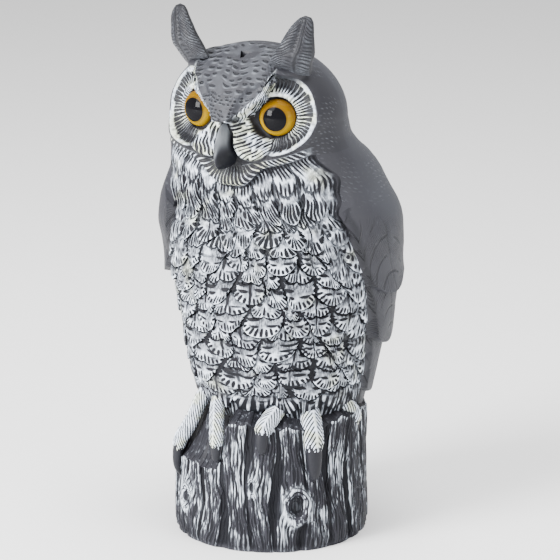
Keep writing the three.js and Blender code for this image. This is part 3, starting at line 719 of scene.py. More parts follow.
def face_cut(x_signed, height):
    """Strokes of the face: how deep they are cut, and where the white paint goes."""
    x = size_of(x_signed)
    left = smooth(-0.5, 0.5, x_signed)
    dx, dz, disc = eye_disc(x, height)
    angle = angle_of(dz, dx)
    away = length_of(dx, dz)
    brow = height - brow_line(x)
    ruff = height - ruff_line(x)
    # the eye sits in a dark hollow that widens towards the beak
    recess = 1 - smooth(14.9, 16.2, length_of(dx + 1.9, dz - 0.4))
    # rays round the eye, tapering inwards, inside a smooth white rim
    rays = angle * (EYE_RAYS / (2 * math.pi)) + 0.3 * sine(angle * 7 + 3 * left)
    luck = chance(floor(rays + 0.5), left)
    width = 0.24 + 0.2 * smooth(0.6, 0.9, disc) * (0.7 + 0.6 * luck)
    ends = 0.92 + 0.05 * luck + 0.02 * smooth(-0.4, -1.2, angle)
    ray = stripe(rays, width, 0.1) * smooth(0.5, 0.56, disc + 0.05 * luck)
    ray = ray * (1 - smooth(ends - 0.03, ends + 0.02, disc))
    lid = smooth(15.2, 16, away) * (1 - smooth(18.6, 20, away)) * smooth(0.8, 1.05, angle)
    foot = bell(angle + 1.2, 0.4) * (1 - smooth(0.9, 0.97, disc))
    # painted shade under the brow, on the upper part of the left disc only
    upper = smooth(0.95, 1.2, angle) * smooth(0.66, 0.74, disc) * left
    in_disc = 1 - smooth(0, 0.03, disc - 1.02 - 0.04 * bell(angle + 0.6, 0.5))
    rim = smooth(0.94, 0.98, disc) * smooth(-1.0, -0.5, angle)
    white = in_disc * (1 - 0.95 * foot) * (1 - 0.8 * upper) * mix(0.95, 0.8, rim)
    cut = most(most(ray, 0.5 * upper), 0.35 * foot) * in_disc * (1 - lid)
    # bold strokes of the cheek lobe, which run to the eye on the left and upwards on the right
    to_eye = angle_of(height - 240, 76 - x) * 26
    upwards = angle_of(x - 15, height - 160) * 13
    line = mix(upwards, to_eye, left)
    reach = mix(height / 4.2, x / 4.2, left)
    lobe_luck = chance(floor(line + 0.5), left, 1.7)
    wander = 0.12 * sine(reach * 1.3 + height / 3)
    stroke = stripe(line + wander, 0.25 + 0.12 * sine(reach + 6 * lobe_luck), 0.1)
    stroke = stroke * smooth(-1.0, -0.8, sine(reach * 1.5 + 6.3 * lobe_luck))
    lobe = cheek_lobe(x, height, 212.5, 12)
    cheek = (1 - smooth(0.95, 1.03, lobe)) * smooth(0.85, 0.95, disc + 0.4 * smooth(4, -4, dx))
    inner = (1 - smooth(20, 27, x)) * smooth(203, 206, height) * (1 - smooth(-6, -2, brow))
    cheek = most(cheek, inner)
    white, cut = mix(white, 1.0, cheek), mix(cut, stroke, cheek)
    # painted shade: a dark line in the groove under the lower edge of each cheek lobe
    shade_under_lobe = bell(lobe - 1.12, 0.09) * (1 - smooth(208, 214, height)) * smooth(6, 10, x)
    # bars of the ruff, fanning out from under the beak
    fan = x * 33 / (33 - least(ruff, 18.0))
    thin = 0.33 + 0.12 * smooth(2, 12, ruff)
    bars = mix(fan, x + 0.85 * ruff, smooth(8, 26, x))
    bars = stripe(bars / RUFF_BAR + 0.5, thin, 0.1)
    deep = 4.6 + 10.5 * (1 - smooth(8, 32, x))
    band = smooth(-1.2, -0.2, ruff) * (1 - smooth(deep - 1, deep + 0.5, ruff))
    band = band * (1 - smooth(56, 61, x))
    white, cut = mix(white, 1.0, band), mix(cut, bars, band)
    groove = bell(ruff - deep - 1.2, 1.2) * (1 - smooth(50, 58, x))
    # the fringe under the brow, and a thin dark line round the beak
    fringe = smooth(-7.2, -5.8, brow) * (1 - smooth(-0.5, 0.6, brow))
    fringe = fringe * smooth(7, 12, x) * (1 - smooth(30, 35, x))
    fringe_cut = stripe((x - 0.9 * brow) / BROW_STRAND, 0.24, 0.1)
    white, cut = mix(white, 1.0, fringe), mix(cut, fringe_cut, fringe)
    beak_half = 8.2 * root(most(229 - height, 0.0) / 24)
    beak_line = (1 - smooth(0.5, 1.7, x - beak_half)) * smooth(192, 197, height)
    beak_line = beak_line * (1 - smooth(229, 231, height))
    dark = most(recess * (1 - lid) * (1 - fringe), beak_line)
    cut = most(cut, most(dark, most(groove, shade_under_lobe) * 0.85))
    below = 1 - smooth(-3.2, -1.2, ruff)
    crown = smooth(-0.3, 1.0, brow)
    return cut * (1 - below) * (1 - crown), white * (1 - below) * (1 - crown), crown


def nicks(x, height):
    """Crescents cut in the crown in wavering rows, small and close low down, each with a pale
    lip below it."""
    sway = 1.6 * sine(height / 4.1 + 0.5)
    height = height + 1.7 * sine(x / 5.3 + 1) + 0.8 * sine(x / 2.9 - height / 7)
    x = x + sway

    def scattered(wide, tall, half_x, half_y, salt):
        row = height / tall
        k = floor(row)
        column = x / wide + k * 0.5 + 0.35 * chance(k, 0, salt)
        i = floor(column)
        luck = chance(i, k, 2.1 + salt)
        dx = (column - i - 0.5 - 0.35 * (chance(i, k, salt) - 0.5)) * wide
        dz = (row - k - 0.5 - 0.35 * (chance(i, k, 1.3 + salt) - 0.5)) * tall
        dz = dz + (0.35 * (luck - 0.5) * dx) - 0.09 / half_y * dx * dx
        half = half_x * (0.7 + 0.6 * luck)
        mark = 1 - smooth(0.6, 1.15, length_of(dx / half, dz / half_y))
        lip = bell(length_of(dx / half, (dz + 1.7 * half_y) / half_y), 0.9)
        shown = smooth(0.1, 0.16, chance(i, k, 3.7 + salt))
        return mark * shown, lip * shown

    big, big_lip = scattered(7.4, 5.8, 2.6, 1.2, 0.0)
    fine, fine_lip = scattered(3.6, 3.2, 1.25, 0.8, 0.9)
    small = 1 - smooth(240, 246, height + 0.12 * size_of(x))
    return mix(big, fine, small), mix(big_lip, fine_lip, small)


def crown_nicks(x, y, height, crown):
    """The nicks, laid out up the front of the crown and on over its top."""
    return nicks(x, height + 0.55 * (y + 55) * crown)


def from_dish(x, y):
    """Distance from the middle of the dish round the vent, where 1 is its edge."""
    return length_of((x - 1) / 17, (y + 37) / 13)


def dished(x, y):
    """The shallow dish round the vent, with a raised rim behind it."""
    away = from_dish(x, y)
    return 0.7 * bell(away - 1.1, 0.16) * smooth(-38, -26, y) - 1.3 * (1 - smooth(0.4, 1.0, away))


def nape_cut(x, y, height):
    """Short slanting strokes of the nape and the sides of the neck."""
    turn = angle_of(x, -y)
    row = height / 3.6 + 0.5 * sine(turn * 9)
    k = floor(row)
    column = turn * 15 + 0.5 * k + 0.6 * chance(k)
    i = floor(column)
    dx = (column - i - 0.5 - 0.5 * (chance(i, k, 2.2) - 0.5)) * 4.2
    dz = (row - k - 0.5) * 3.6 + 0.35 * dx + 1.6 * (chance(i, k, 5.1) - 0.5)
    return 1 - smooth(0.5, 1.2, length_of(dx / 1.5, dz / 0.55)), chance(i, k)


def nape_parts(place):
    x, y, z = place
    stroke, luck = nape_cut(x, y + 10, z)
    zone = smooth(0.44, 0.6, patches(place, 0.045, detail=2.0, offset=4.0))
    return stroke * zone * (0.4 + 0.6 * luck)


def nape_look(u, v, place):
    stroke = nape_parts(place)
    scuff = smooth(0.6, 0.8, patches(place, 0.25, detail=4.0))
    paint = painted_light_behind(place) + 0.06 * stroke + 0.02 * scuff
    return 0.15 * stroke, paint, 0.0, 0.4 * stroke, BARE_PLASTIC


def face_look(u, v, place):
    x, y, z = place
    height = z - STUMP_HEIGHT
    cut, white, crown = face_cut(x, height)
    mark, lip = crown_nicks(x, y, height, crown)
    front = smooth(-8, -24, y)
    outside = most(smooth(0.6, 0.8, from_dish(x, y)), 1 - smooth(262, 268, height))
    mark, lip = mark * crown * front * outside, lip * crown * front * outside
    beside_ear = crown * front * smooth(22, 30, size_of(x))
    strands = stripe((height + 0.9 * size_of(x)) / 2.7, 0.2, 0.15) * beside_ear
    stroke = nape_parts(place)
    brushed = patches(place, 0.3, detail=4.0)
    dust = patches(place, 0.08, detail=4.0, offset=6.0)
    dusty = crown * front * (0.006 + 0.036 * smooth(0.35, 0.7, dust))
    dusty = dusty * (1 - 0.6 * beside_ear)
    paint = white * (1 - cut) * mix(0.42, 1.0, smooth(0.36, 0.56, brushed))
    plain = (1 - white) * (1 - crown)
    paint = most(most(paint, dusty + 0.09 * lip), (0.06 * stroke + painted_light_behind(place)) * plain)
    cream = smooth(0.42, 0.58, patches(place, 0.07, detail=2.0, offset=1.0)) * 0.7 * white
    height = -0.8 * cut - 0.9 * mark + 0.4 * lip - 0.4 * strands + 0.3 * stroke * plain
    return most(cut * 0.95, most(mark * 0.9, strands * 0.45)), paint, cream, height, toned(0.8)


def bird_ring(bearing, height, k, t):
    """One ring of the bird, at a share t of the way up row k."""
    level = np.minimum(height, HEAD_CENTRE)
    _, wide, deep, wing_wide, wing_deep, back, centre, _ = [f(level) for f in profile]
    rise = np.clip((height - HEAD_CENTRE) / (CROWN_HEIGHT - HEAD_CENTRE), 0, 1)
    dome = np.sqrt(1 - rise * rise)
    far = np.abs(bearing)
    breast = oval(far, wide, np.where(far < 90, deep, back), 2.15)
    wing = oval(far, wing_wide, np.where(far < 90, wing_deep, back), 2.15)
    neck = smooth(NECK[0], 184, height)
    spread = mix(on_wing * 1.0, smooth(20, 110, far), neck)
    r = mix(breast, wing, spread) * dome
    feathered = 1 - smooth(166, 178, height)
    puff = FEATHER_RELIEF * (1 - t) * (1 - 0.4 * np.cos(2 * np.pi * across_of) ** 2)
    r = r + np.where(on_wing, -wing_drop(k, t), puff) * feathered
    facing = smooth(-0.1, 0.35, np.cos(np.radians(far))) * smooth(168, 178, height)
    lift = facing * smooth(0, 0.35, dome)
    relief = 0.0
    for _ in range(3):
        relief = face_relief((r + relief) * np.sin(np.radians(far)), height) * lift
    r = r + relief
    twist = 1 - smooth(*NECK, height)
    turn = np.radians(bearing + BODY_TURN * twist)
    return np.stack(
        [
            r * np.sin(turn) + BODY_SHIFT * twist,
            centre - r * np.cos(turn),
            STUMP_HEIGHT + height,
        ],
        axis=-1,
    )


def outward(rings):
    """Directions square to a closed skin of rings."""
    along = np.roll(rings, -1, axis=1) - np.roll(rings, 1, axis=1)
    up = np.gradient(rings, axis=0)
    normal = np.cross(along, up)
    return normal / np.maximum(np.linalg.norm(normal, axis=-1, keepdims=True), 1e-9)


def bird_skin():
    last = len(FEATHER_EDGES) - 1
    rows = []

    def add_row(height_of, k, t, kind):
        guess = height_of(bearing_of(70))
        bearing = bearing_of(wing_edge(guess))
        height = height_of(bearing)
        row = k + t
        sway = 0.2 * np.sin(2.1 * across_of + 1.7 * row) + 0.06 * np.sin(5.3 * across_of - 2.9 * row)
        calm = 1 - smooth(150, 170, height)
        bearing = bearing_of(wing_edge(height), sway * calm)
        rows.append((bird_ring(bearing, height, k, t), np.full_like(height, row), kind))

    def aside(bearing):
        return np.sin(np.radians(np.minimum(90, np.abs(bearing))))

    def ruff_of(bearing):
        a = aside(bearing)
        return ruff_line((63.6 - 17.5 * a**2 + 26 * a**4) * a)

    def brow_of(bearing):
        a = aside(bearing)
        return brow_line((56 - 14 * a) * a) - 18 * smooth(70, 120, np.abs(bearing))

    for t in (0.0, 0.5):
        add_row(lambda bearing: mix(BIRD_FOOT, edge_line(0), t), -1, t, "under")
    tier_steps = 16
    for k in range(last + 1):
        step = 1.3 * (0.2 if k == last else 1)
        add_row(lambda bearing: edge_line(k) - step, k - 1, 0.95, "tier")
        add_row(lambda bearing: edge_line(k), k, 0.0, "tier")
        if k < last:
            for t in np.arange(1, tier_steps) / tier_steps * 0.97:
                add_row(lambda bearing: mix(edge_line(k), edge_line(k + 1), t), k, t, "tier")

    def throat_line(bearing):
        return mix(edge_line(last), ruff_of(bearing) - 2.6, t)

    def face_line(bearing):
        return mix(ruff_of(bearing) - 1.6 * (t == 0), brow_of(bearing) - brow_band, t)

    def crown_line(bearing):
        return mix(brow_of(bearing), CROWN_HEIGHT - 0.6, np.sin(np.pi / 2 * t))

    brow_band = 9
    for t in np.linspace(0.12, 1, 16):
        add_row(throat_line, last, t * 0.999, "throat")
    for t in np.linspace(0, 1, 60):
        add_row(face_line, last, 1.0 + 0.9 * t, "face")
    for t in np.arange(1, 10) / 10:
        add_row(lambda bearing: brow_of(bearing) - brow_band * (1 - t), last, 1.9 + 0.1 * t, "face")
    for t in np.linspace(0, 1, 37)[:-1]:
        add_row(crown_line, last, 2.0 + t, "crown")
    rings = np.array([row[0] for row in rows])
    place = np.array([row[1] for row in rows])
    kinds = np.array([row[2] for row in rows])
    wing_span = WING_FEATHERS * WING_FEATHER_SPAN
    u = np.where(on_wing, share_of * wing_span, across_of) + 0 * place
    # the finer carving
    height = rings[..., 2] - STUMP_HEIGHT
    tiers = np.isin(kinds, ["tier", "throat"])[:, None] & ~on_wing[None, :]
    breast_place = np.where(on_wing, 4.4, across_of) + 0 * place, np.clip(place, 0, 7.999)
    gap, _, _ = breast_marks(*breast_place)
    swell = breast_rise(*breast_place)
    relief = np.where(tiers, swell * smooth(160, 150, height) - 1.1 * gap, 0)
    x, y = rings[..., 0], rings[..., 1]
    cut, _, crown = face_cut(x, height)
    front = smooth(-5, -25, y) * smooth(74, 66, np.abs(x))
    mark, lip = crown_nicks(x, y, height, crown)
    head = np.isin(kinds, ["face", "crown"])[:, None]
    dish = dished(x, y) * smooth(262, 272, height)
    carved = -0.55 * cut + (0.2 * lip - 0.5 * mark + dish) * crown
    relief = relief + np.where(head, carved * front, 0)
    rings = rings + outward(rings) * relief[..., None]
    # the finish of each band of faces
    facing = (rings[..., 1] < -12) & (np.abs(rings[..., 0]) < 78)
    band = np.full(place.shape, finish_number("nape"))
    band[np.isin(kinds, ["under", "tier", "throat"])] = finish_number("belly")
    edge = on_wing | np.roll(on_wing, -1)
    band[np.isin(kinds, ["under", "tier"])[:, None] & edge] = finish_number("wing")
    band[(kinds == "throat")[:, None] & edge] = finish_number("nape")
    band[head & facing] = finish_number("face")
    top = rings[-1].mean(axis=0)
    top[2] = STUMP_HEIGHT + CROWN_HEIGHT
    marks = np.stack([u, place], axis=-1)
    return skin("bird", rings, (0, 0, STUMP_HEIGHT + BIRD_FOOT), top, marks, band[:-1])


bird = bird_skin()

# The two ear tufts, horns of feathers that lean outwards, hollow in front, with a dark middle
# rib and slanting barbs. Bare plastic, lighter along their edges.
EAR = np.array(
    [
        # height, middle across, half-width, middle forward, half-thickness
        [240, 38, 13, 24, 10],
        [248, 38.5, 14, 25, 10],
        [255, 38.8, 15.2, 29.5, 11],
        [262, 39, 16.8, 34.8, 12],
        [267, 38.9, 17.8, 39.4, 12.6],
        [271, 38.9, 17.8, 41.5, 12.2],
        [275, 40.2, 17.6, 43, 11.5],
        [280, 43.6, 15.5, 44.5, 10],
        [284, 46.4, 13.3, 45, 8.5],
        [288, 47.9, 11.9, 45, 7.3],
        [293, 49.4, 10.3, 45, 6.2],
        [299, 51.2, 8.4, 44.5, 5.2],
        [303, 52.2, 6.4, 43, 4.4],
        [306, 52.8, 3.8, 42, 3.4],
    ]
)
EAR_COLUMNS = 52


def in_head(across, forward, height):
    """A place in the head: across from its middle, forward to its face, and above the stump."""
    return across, -forward, STUMP_HEIGHT + height


def ring_round(centre, half_a, half_b, count, n=2.0):
    """Points round a centre in the plane of two half-axes."""
    angle = 2 * np.pi * np.arange(count) / count
    scale = (np.abs(np.cos(angle)) ** n + np.abs(np.sin(angle)) ** n) ** (-1 / n)
    a, b = (np.cos(angle) * scale)[:, None], (np.sin(angle) * scale)[:, None]
    return np.asarray(centre) + a * np.asarray(half_a) + b * np.asarray(half_b)


def pressed_in(ring, middle, depth):
    """A ring of points, each moved towards the ring's middle by its own depth."""
    inward = middle - ring
    inward /= np.linalg.norm(inward, axis=1, keepdims=True)
    return ring + inward * depth[:, None]


def ear_marks(across, up, front):
    """The ear's rib, its slanting barbs and its hollow. across is -1 at the inner edge and 1 at
    the outer one, up is in millimetres, and front is 1 on the side that faces forward."""
    rib = bell(across - 0.42, 0.09) * front
    up = up + 0.5 * sine(up / 2.3 + 5 * across) + 0.5 * sine(up / 5.1 - 7 * across)
    hatch = stripe((up - 9 * across) / 2.5, 0.2, 0.13) * smooth(-0.05, -0.25, across)
    bars = stripe(up / 3.1 + 0.2 * across, 0.19, 0.12) * bell(across - 0.1, 0.24)
    outer = stripe((up + 7 * across) / 2.6, 0.17, 0.13) * smooth(0.5, 0.6, across)
    return rib, most(most(hatch, bars), outer) * front, bell(across - 0.08, 0.3) * front


def ear_look(u, v, place):
    across = fraction(u) * 2.5 - 1.25
    front = 1 - smooth(0.9, 1.0, u)
    horn = smooth(258, 270, v)
    rib, hatch, hollow = [share * horn for share in ear_marks(across, v, front)]
    patch = patches(place, 0.14, detail=4.0)
    worn = smooth(0.4, 0.62, patch)
    fine = smooth(0.5, 0.62, patches(place, 0.7, (1, 1, 0.6), 3.0, 4.0))
    cut = most(hatch * mix(0.25, 0.7, worn), rib * 0.8) + 0.25 * hollow * (1 - rib)
    edge = smooth(0.55, 0.9, size_of(across)) * front
    paint = (1 - hatch) * (0.005 + 0.024 * worn * front + 0.02 * edge + 0.06 * fine * worn * front)
    paint = paint * (1 - 0.6 * hollow) * (1 - rib)
    paint = paint + 0.03 * (1 - smooth(266, 282, v)) * patch * front
    return least(cut, 1.0), paint, 0.0, -0.5 * hatch - 0.7 * rib, toned(0.66)


def ear_skin(side):
    # the rings lie closer together at the tip
    heights = np.concatenate([np.linspace(EAR[0, 0], 300, 52), np.linspace(301.2, EAR[-1, 0], 6)])
    _, across, half, forward, deep = [through(EAR, column)(heights) for column in range(5)]
    rings, marks = [], []
    angle = 2 * np.pi * np.arange(EAR_COLUMNS) / EAR_COLUMNS
    # the front of each ring faces forward, and the back half keeps clear of the pattern
    lateral = np.cos(angle)
    front = smooth(-0.15, 0.25, np.sin(angle))
    for i, height in enumerate(heights):
        middle = np.array(in_head(side * across[i], forward[i], height))
        # the outer edge lies 3 further back for each 14 of its width
        sideways = np.array([side * half[i], 3 * half[i] / 14, 0])
        ring = ring_round(middle, sideways, np.array([0, -deep[i], 0]), EAR_COLUMNS, 2.2)
        rib, hatch, hollow = ear_marks(lateral, height, front)
        fade = smooth(262, 270, height) * smooth(307, 300, height)
        depth = (2.0 * hollow * smooth(264, 276, height) + 0.35 * hatch + 0.5 * rib) * fade
        rings.append(pressed_in(ring, middle, depth))
        marks.append(np.stack([(lateral + 1.25) / 2.5 + (1 - front), height + 0 * front], axis=-1))
    if side < 0:
        rings = [ring[::-1] for ring in rings]
        marks = [mark[::-1] for mark in marks]
    bands = np.full((len(rings) - 1, EAR_COLUMNS), finish_number("ear"))
    start, end = in_head(side * 40, 26, 238), in_head(side * 52.8, 42, 307.6)
    return skin(f"ear{side}", rings, start, end, marks, bands)


ears = [ear_skin(1), ear_skin(-1)]

# The beak, a smooth hooked kite between the cheeks, moulded in one with them. Dark plastic with
# a soft gloss, dusted pale on its upper half, with a painted highlight along a streak, and a
# black outline.
BEAK = np.array(
    [
        # height, half-width, root forward, ridge forward
        [195.5, 2.8, 66, 77],
        [199, 5.8, 60, 80],
        [205, 7.4, 58, 81.5],
        [211, 6.8, 58, 81],
        [218, 5, 60, 79],
        [224, 2.8, 63, 75.5],
        [227.5, 0.8, 66, 72.5],
    ]
)
BEAK_HALF = 7.4
BEAK_ROWS = 34
BEAK_COLUMNS = 28


def beak_look(u, v, place):
    x, _, z = place
    height = z - STUMP_HEIGHT
    half = BEAK_HALF * root(most(1 - power(most(height - 204, 0.0) / 24.5, 1.5), 0.01))
    outline = smooth(0.62, 0.9, size_of(x) / half) * smooth(200, 208, height)
    pale = smooth(207, 220, height)
    shade = patches(place, 0.2, detail=3.0)
    # a painted highlight down the middle of the beak, which also lightens the dark lower part
    highlight_streak = bell(x - 0.2 * (height - 208), 1.3) * bell(height - 208, 6)
    paint = (0.19 * pale * (0.6 + 0.7 * shade) + 0.14 * highlight_streak) * (1 - outline)
    cut = most(0.95 * (1 - smooth(203, 217, height)) * (1 - highlight_streak), outline)
    return cut, paint, 0.15, 0.05 * shade, toned(1.1)


def beak_skin():
    heights = np.linspace(BEAK[0, 0], BEAK[-1, 0], BEAK_ROWS)
    rings = []
    for height, half, back, ridge in zip(*[through(BEAK, column)(heights) for column in range(4)]):
        sideways, forward = (half, 0, 0), (0, back - ridge, 0)
        ring = ring_round(in_head(0, back, height), sideways, forward, BEAK_COLUMNS, 1.75)
        rings.append(ring[::-1])
    marks = np.zeros((BEAK_ROWS, BEAK_COLUMNS, 2))
    bands = np.full((BEAK_ROWS - 1, BEAK_COLUMNS), finish_number("beak"))
    return skin("beak", rings, in_head(0, 71.5, 193.8), in_head(0, 67, 228.5), marks, bands)


beak = beak_skin()

# Six toes: feathered humps that leave the belly and bend down over the rim of the stump. Each
# is barbed like a feather, painted white, and ends in a smooth dark claw.
CLAW_SHARE = 0.82
TOE_ROOT = 54
TOE_ROWS = 44
TOE_COLUMNS = 28
TOES = [
    # root bearing, claw bearing, height of the claw's tip, reach, half-width, early bend, bare from
    (39, 24.5, 77, 79, 6.4, 0.16, 0.53),
    (60, 55.5, 53, 79, 7.6, 0.14, 0.55),
    (81, 96, 77, 73, 6.6, 0.16, 0.6),
    (-18, -4, 66, 79, 5.4, 0.16, 0.62),
    (-32, -44, 42, 79, 6.2, 0.36, 0.58),
    (-70, -94, 76, 60, 5.6, 0.2, 0.58),
]


def drawn_line(points, count):
    """Points along a smooth line through the given ones, and the line's directions."""
    points = np.asarray(points, float)
    ends = [2 * points[0] - points[1]], [2 * points[-1] - points[-2]]
    p = np.concatenate([ends[0], points, ends[1]])
    step = np.linalg.norm(np.diff(p, axis=0), axis=1)[:, None] ** 0.5
    at = np.linspace(0, len(points) - 1, count)
    i = np.minimum(at.astype(int), len(points) - 2)
    t = (at - i)[:, None]
    d0, d1, d2 = step[i], step[i + 1], step[i + 2]
    x0, x1, x2, x3 = p[i], p[i + 1], p[i + 2], p[i + 3]
    m1 = ((x1 - x0) / d0 - (x2 - x0) / (d0 + d1) + (x2 - x1) / d1) * d1
    m2 = ((x2 - x1) / d1 - (x3 - x1) / (d1 + d2) + (x3 - x2) / d2) * d1
    c2, c3 = 3 * (x2 - x1) - 2 * m1 - m2, 2 * (x1 - x2) + m1 + m2
    line = x1 + m1 * t + c2 * t**2 + c3 * t**3
    along = m1 + 2 * c2 * t + 3 * c3 * t**2
    return line, along / np.linalg.norm(along, axis=1, keepdims=True)


def toe_marks(turn, along):
    """The toe's barbs and its midrib. turn is 0 on top of the toe, and along is in millimetres
    from its root."""
    away = size_of(turn)
    barbs = stripe((along - away * 52) / 3.4, 0.2, 0.12) * smooth(0.012, 0.03, away)
    rib = bell(away, 0.014)
    return barbs, rib


def toe_look(u, v, place):
    barbs, _ = toe_marks(u, v)
    brushed = smooth(0.3, 0.5, patches(place, 0.2, detail=4.0))
    paint = (1 - barbs) * mix(0.6, 1.0, brushed) * (1 - smooth(0.3, 0.4, size_of(u)))
    cream = 0.6 * smooth(0.5, 0.65, patches(place, 0.08, detail=2.0))
    return barbs * 0.9, paint, cream, -0.5 * barbs, BARE_PLASTIC


def claw_look(u, v, place):
    brushed = patches(place, 0.5, detail=4.0)
    return 0.6, 0.01 * smooth(0.55, 0.75, brushed), 0.0, 0.05 * brushed, BARE_PLASTIC


def toe_skin(number, root_bearing, claw_bearing, tip, reach, radius, bend, bare_from):
    lift = STUMP_HEIGHT + LEDGE_RISE
    path = []
    # share of the way to the claw, height, and distance from the stump's axis
    for share, height, out in [
        (-0.1, lift + 6, TOE_ROOT - 10),
        (0.1, lift + 2, TOE_ROOT),
        (0.45, mix(lift, tip, bend), mix(TOE_ROOT, reach, 0.23 + 0.75 * bend)),
        (0.8, mix(lift, tip, 0.3 + 0.7 * bend), mix(TOE_ROOT, reach, 0.72)),
        (1, mix(lift, tip, 0.72), reach - 4.5),
        (1.04, mix(lift, tip, 0.88), reach - 4.5),
        (1.06, tip + 1, reach - 8),
    ]:
        bearing = math.radians(mix(root_bearing, claw_bearing, min(1, share / 0.85)))
        path.append((out * math.sin(bearing), -out * math.cos(bearing), height))
    line, along = drawn_line(path, TOE_ROWS)
    travel = np.concatenate([[0], np.cumsum(np.linalg.norm(np.diff(line, axis=0), axis=1))])
    column = np.arange(TOE_COLUMNS)
    turn = fraction(column / TOE_COLUMNS - 0.25 + 0.5) - 0.5
    # the boundary between the paint and the claw is ragged
    ragged = 0.022 * np.sin(column * 2.3 + number) + 0.014 * np.sin(column * 1.1)
    rings, marks, bands = [], [], []
    for i, t in enumerate(np.linspace(0, 1, TOE_ROWS)):
        bearing = math.atan2(line[i, 0], -line[i, 1])
        sideways = np.array([math.cos(bearing), math.sin(bearing), 0])
        sideways -= along[i] * (sideways @ along[i])
        sideways /= np.linalg.norm(sideways)
        out = np.cross(along[i], sideways)
        feathered = radius * (0.9 + 0.2 * math.sin(math.pi * t * 1.3))
        bare = radius * CLAW_SHARE * math.sqrt(min(1, max(0, (1.03 - t) / 0.42)))
        r = mix(feathered, bare, smooth(bare_from - 0.015, bare_from + 0.03, t))
        ring = ring_round(line[i], sideways * r, out * r * 0.85, TOE_COLUMNS)
        barbs, rib = toe_marks(turn, travel[i])
        fade = 1 - smooth(bare_from - 0.03, bare_from + 0.01, t)
        rings.append(pressed_in(ring, line[i], (0.45 * barbs - 0.3 * rib) * fade))
        marks.append(np.stack([np.abs(turn), travel[i] + 0 * turn], axis=-1))
        bands.append(np.where(t < bare_from + ragged, finish_number("toe"), finish_number("claw")))
    return skin(f"toe{number}", rings, path[0], line[-1] + along[-1], marks, bands[:-1])


toes = [toe_skin(number, *toe) for number, toe in enumerate(TOES)]

# The whole moulding: stump, bird, ears, beak and toes run into one skin of satin plastic, with a
# round socket for each eye and a small three-sided vent in the crown.
EYE_DIAMETER = 27
EYE_BULGE = 8.5
EYE_RIM = 2.5
STEM_DIAMETER = 16
STEM_LENGTH = 9
EYE_FIT = 0.4
EYE_SPLAY = 12
EYE_FORWARD = 48
EYE_COLUMNS = 72
VENT = {"across": 4.5, "length": 9, "deep": 6, "forward": 40, "height": 277}


def turned(name, outline, side, finish):
    """A shape turned about an eye's axis. outline holds distance off the axis and along it."""
    splay = math.radians(EYE_SPLAY)
    looking = np.array([side * math.sin(splay), -math.cos(splay), 0])
    up = np.array([0, 0, 1.0])
    sideways = np.cross(looking, up)
    centre = np.array(in_head(side * EYE_ACROSS, EYE_FORWARD, EYE_HEIGHT))
    rings, marks = [], []
    for off, along in outline[1:-1]:
        ring = ring_round(centre + looking * along, sideways * off, up * off, EYE_COLUMNS)
        rings.append(ring[::-1])
        marks.append(np.full((EYE_COLUMNS, 2), (off, along)))
    start = centre + looking * outline[0][1]
    end = centre + looking * outline[-1][1]
    bands = np.full((len(rings) - 1, EYE_COLUMNS), finish)
    return skin(name, rings, start, end, marks, bands)


def eye_outline(fit, dome_steps):
    r = EYE_DIAMETER / 2 + fit
    stem = STEM_DIAMETER / 2 + fit
    back = -EYE_RIM - fit
    outline = [(0, back - STEM_LENGTH), (stem, back - STEM_LENGTH), (stem, back), (r, back)]
    for t in np.linspace(0, 1, dome_steps + 1):
        turn = math.pi / 2 * t
        outline.append((r * math.cos(turn), (EYE_BULGE + fit) * math.sin(turn)))
    return outline


def vent_cutter():
    low, high = VENT["height"] - VENT["deep"], VENT["height"] + 8
    half, forward, length = VENT["across"], VENT["forward"], VENT["length"]
    corners = [(0, 0.6), (half, -0.4), (-half, -0.4)]
    rings = [
        [in_head(across, forward + share * length, height) for across, share in corners]
        for height in (low, high)
    ]
    start, end = in_head(0, forward, low), in_head(0, forward, high)
    return skin("vent", rings, start, end, np.zeros((2, 3, 2)), [[finish_number("nape")] * 3])


def carve(body, tool, operation):
    """Joins the tool to the body or cuts it out of it, and takes the tool away."""
    modifier = body.modifiers.new("carve", "BOOLEAN")
    modifier.operation = operation
    modifier.object = tool
    modifier.solver = "MANIFOLD"
    evaluated = body.evaluated_get(bpy.context.evaluated_depsgraph_get())
    mesh = bpy.data.meshes.new_from_object(evaluated)
    body.modifiers.clear()
    body.data = mesh
    bpy.data.objects.remove(tool)


def read_out(items, field, width=1, kind=int):
    """One field of all of a mesh's points, edges, corners or faces."""
    values = np.empty(width * len(items), kind)
    items.foreach_get(field, values)
    return values.reshape(-1, width) if width > 1 else values


def soften(body, finish, reach, rounds, pull=0.6):
    """Blends the crease round the pieces of one finish into the skin beside it."""
    mesh = body.data
    points = read_out(mesh.vertices, "co", 3, float)
    edges = read_out(mesh.edges, "vertices", 2)
    corner = read_out(mesh.loops, "vertex_index")
    kind = read_out(mesh.polygons, "material_index")
    ours = np.repeat(kind == finish, read_out(mesh.polygons, "loop_total"))
    near = np.zeros((2, len(points)))
    near[0, corner[ours]] = 1
    near[1, corner[~ours]] = 1
    share = near.prod(axis=0)
    ends, others = np.concatenate([edges, edges[:, ::-1]]).T
    for _ in range(reach):
        wider = share.copy()
        np.maximum.at(wider, ends, share[others] - 1 / (reach + 1))
        share = wider
    moving = share[ends] > 0
    ends, others = ends[moving], others[moving]
    number = np.maximum(np.bincount(ends, minlength=len(points)), 1)
    for _ in range(rounds):
        for axis in range(3):
            total = np.bincount(ends, points[others, axis], len(points))
            points[:, axis] += pull * share * (total / number - points[:, axis])
    mesh.vertices.foreach_set("co", points.ravel())
    mesh.update()


looks = {
    "bark": bark_look,
    "break": break_look,
    "belly": belly_look,
    "wing": wing_look,
    "face": face_look,
    "nape": nape_look,
    "ear": ear_look,
    "beak": beak_look,
    "toe": toe_look,
    "claw": claw_look,
}
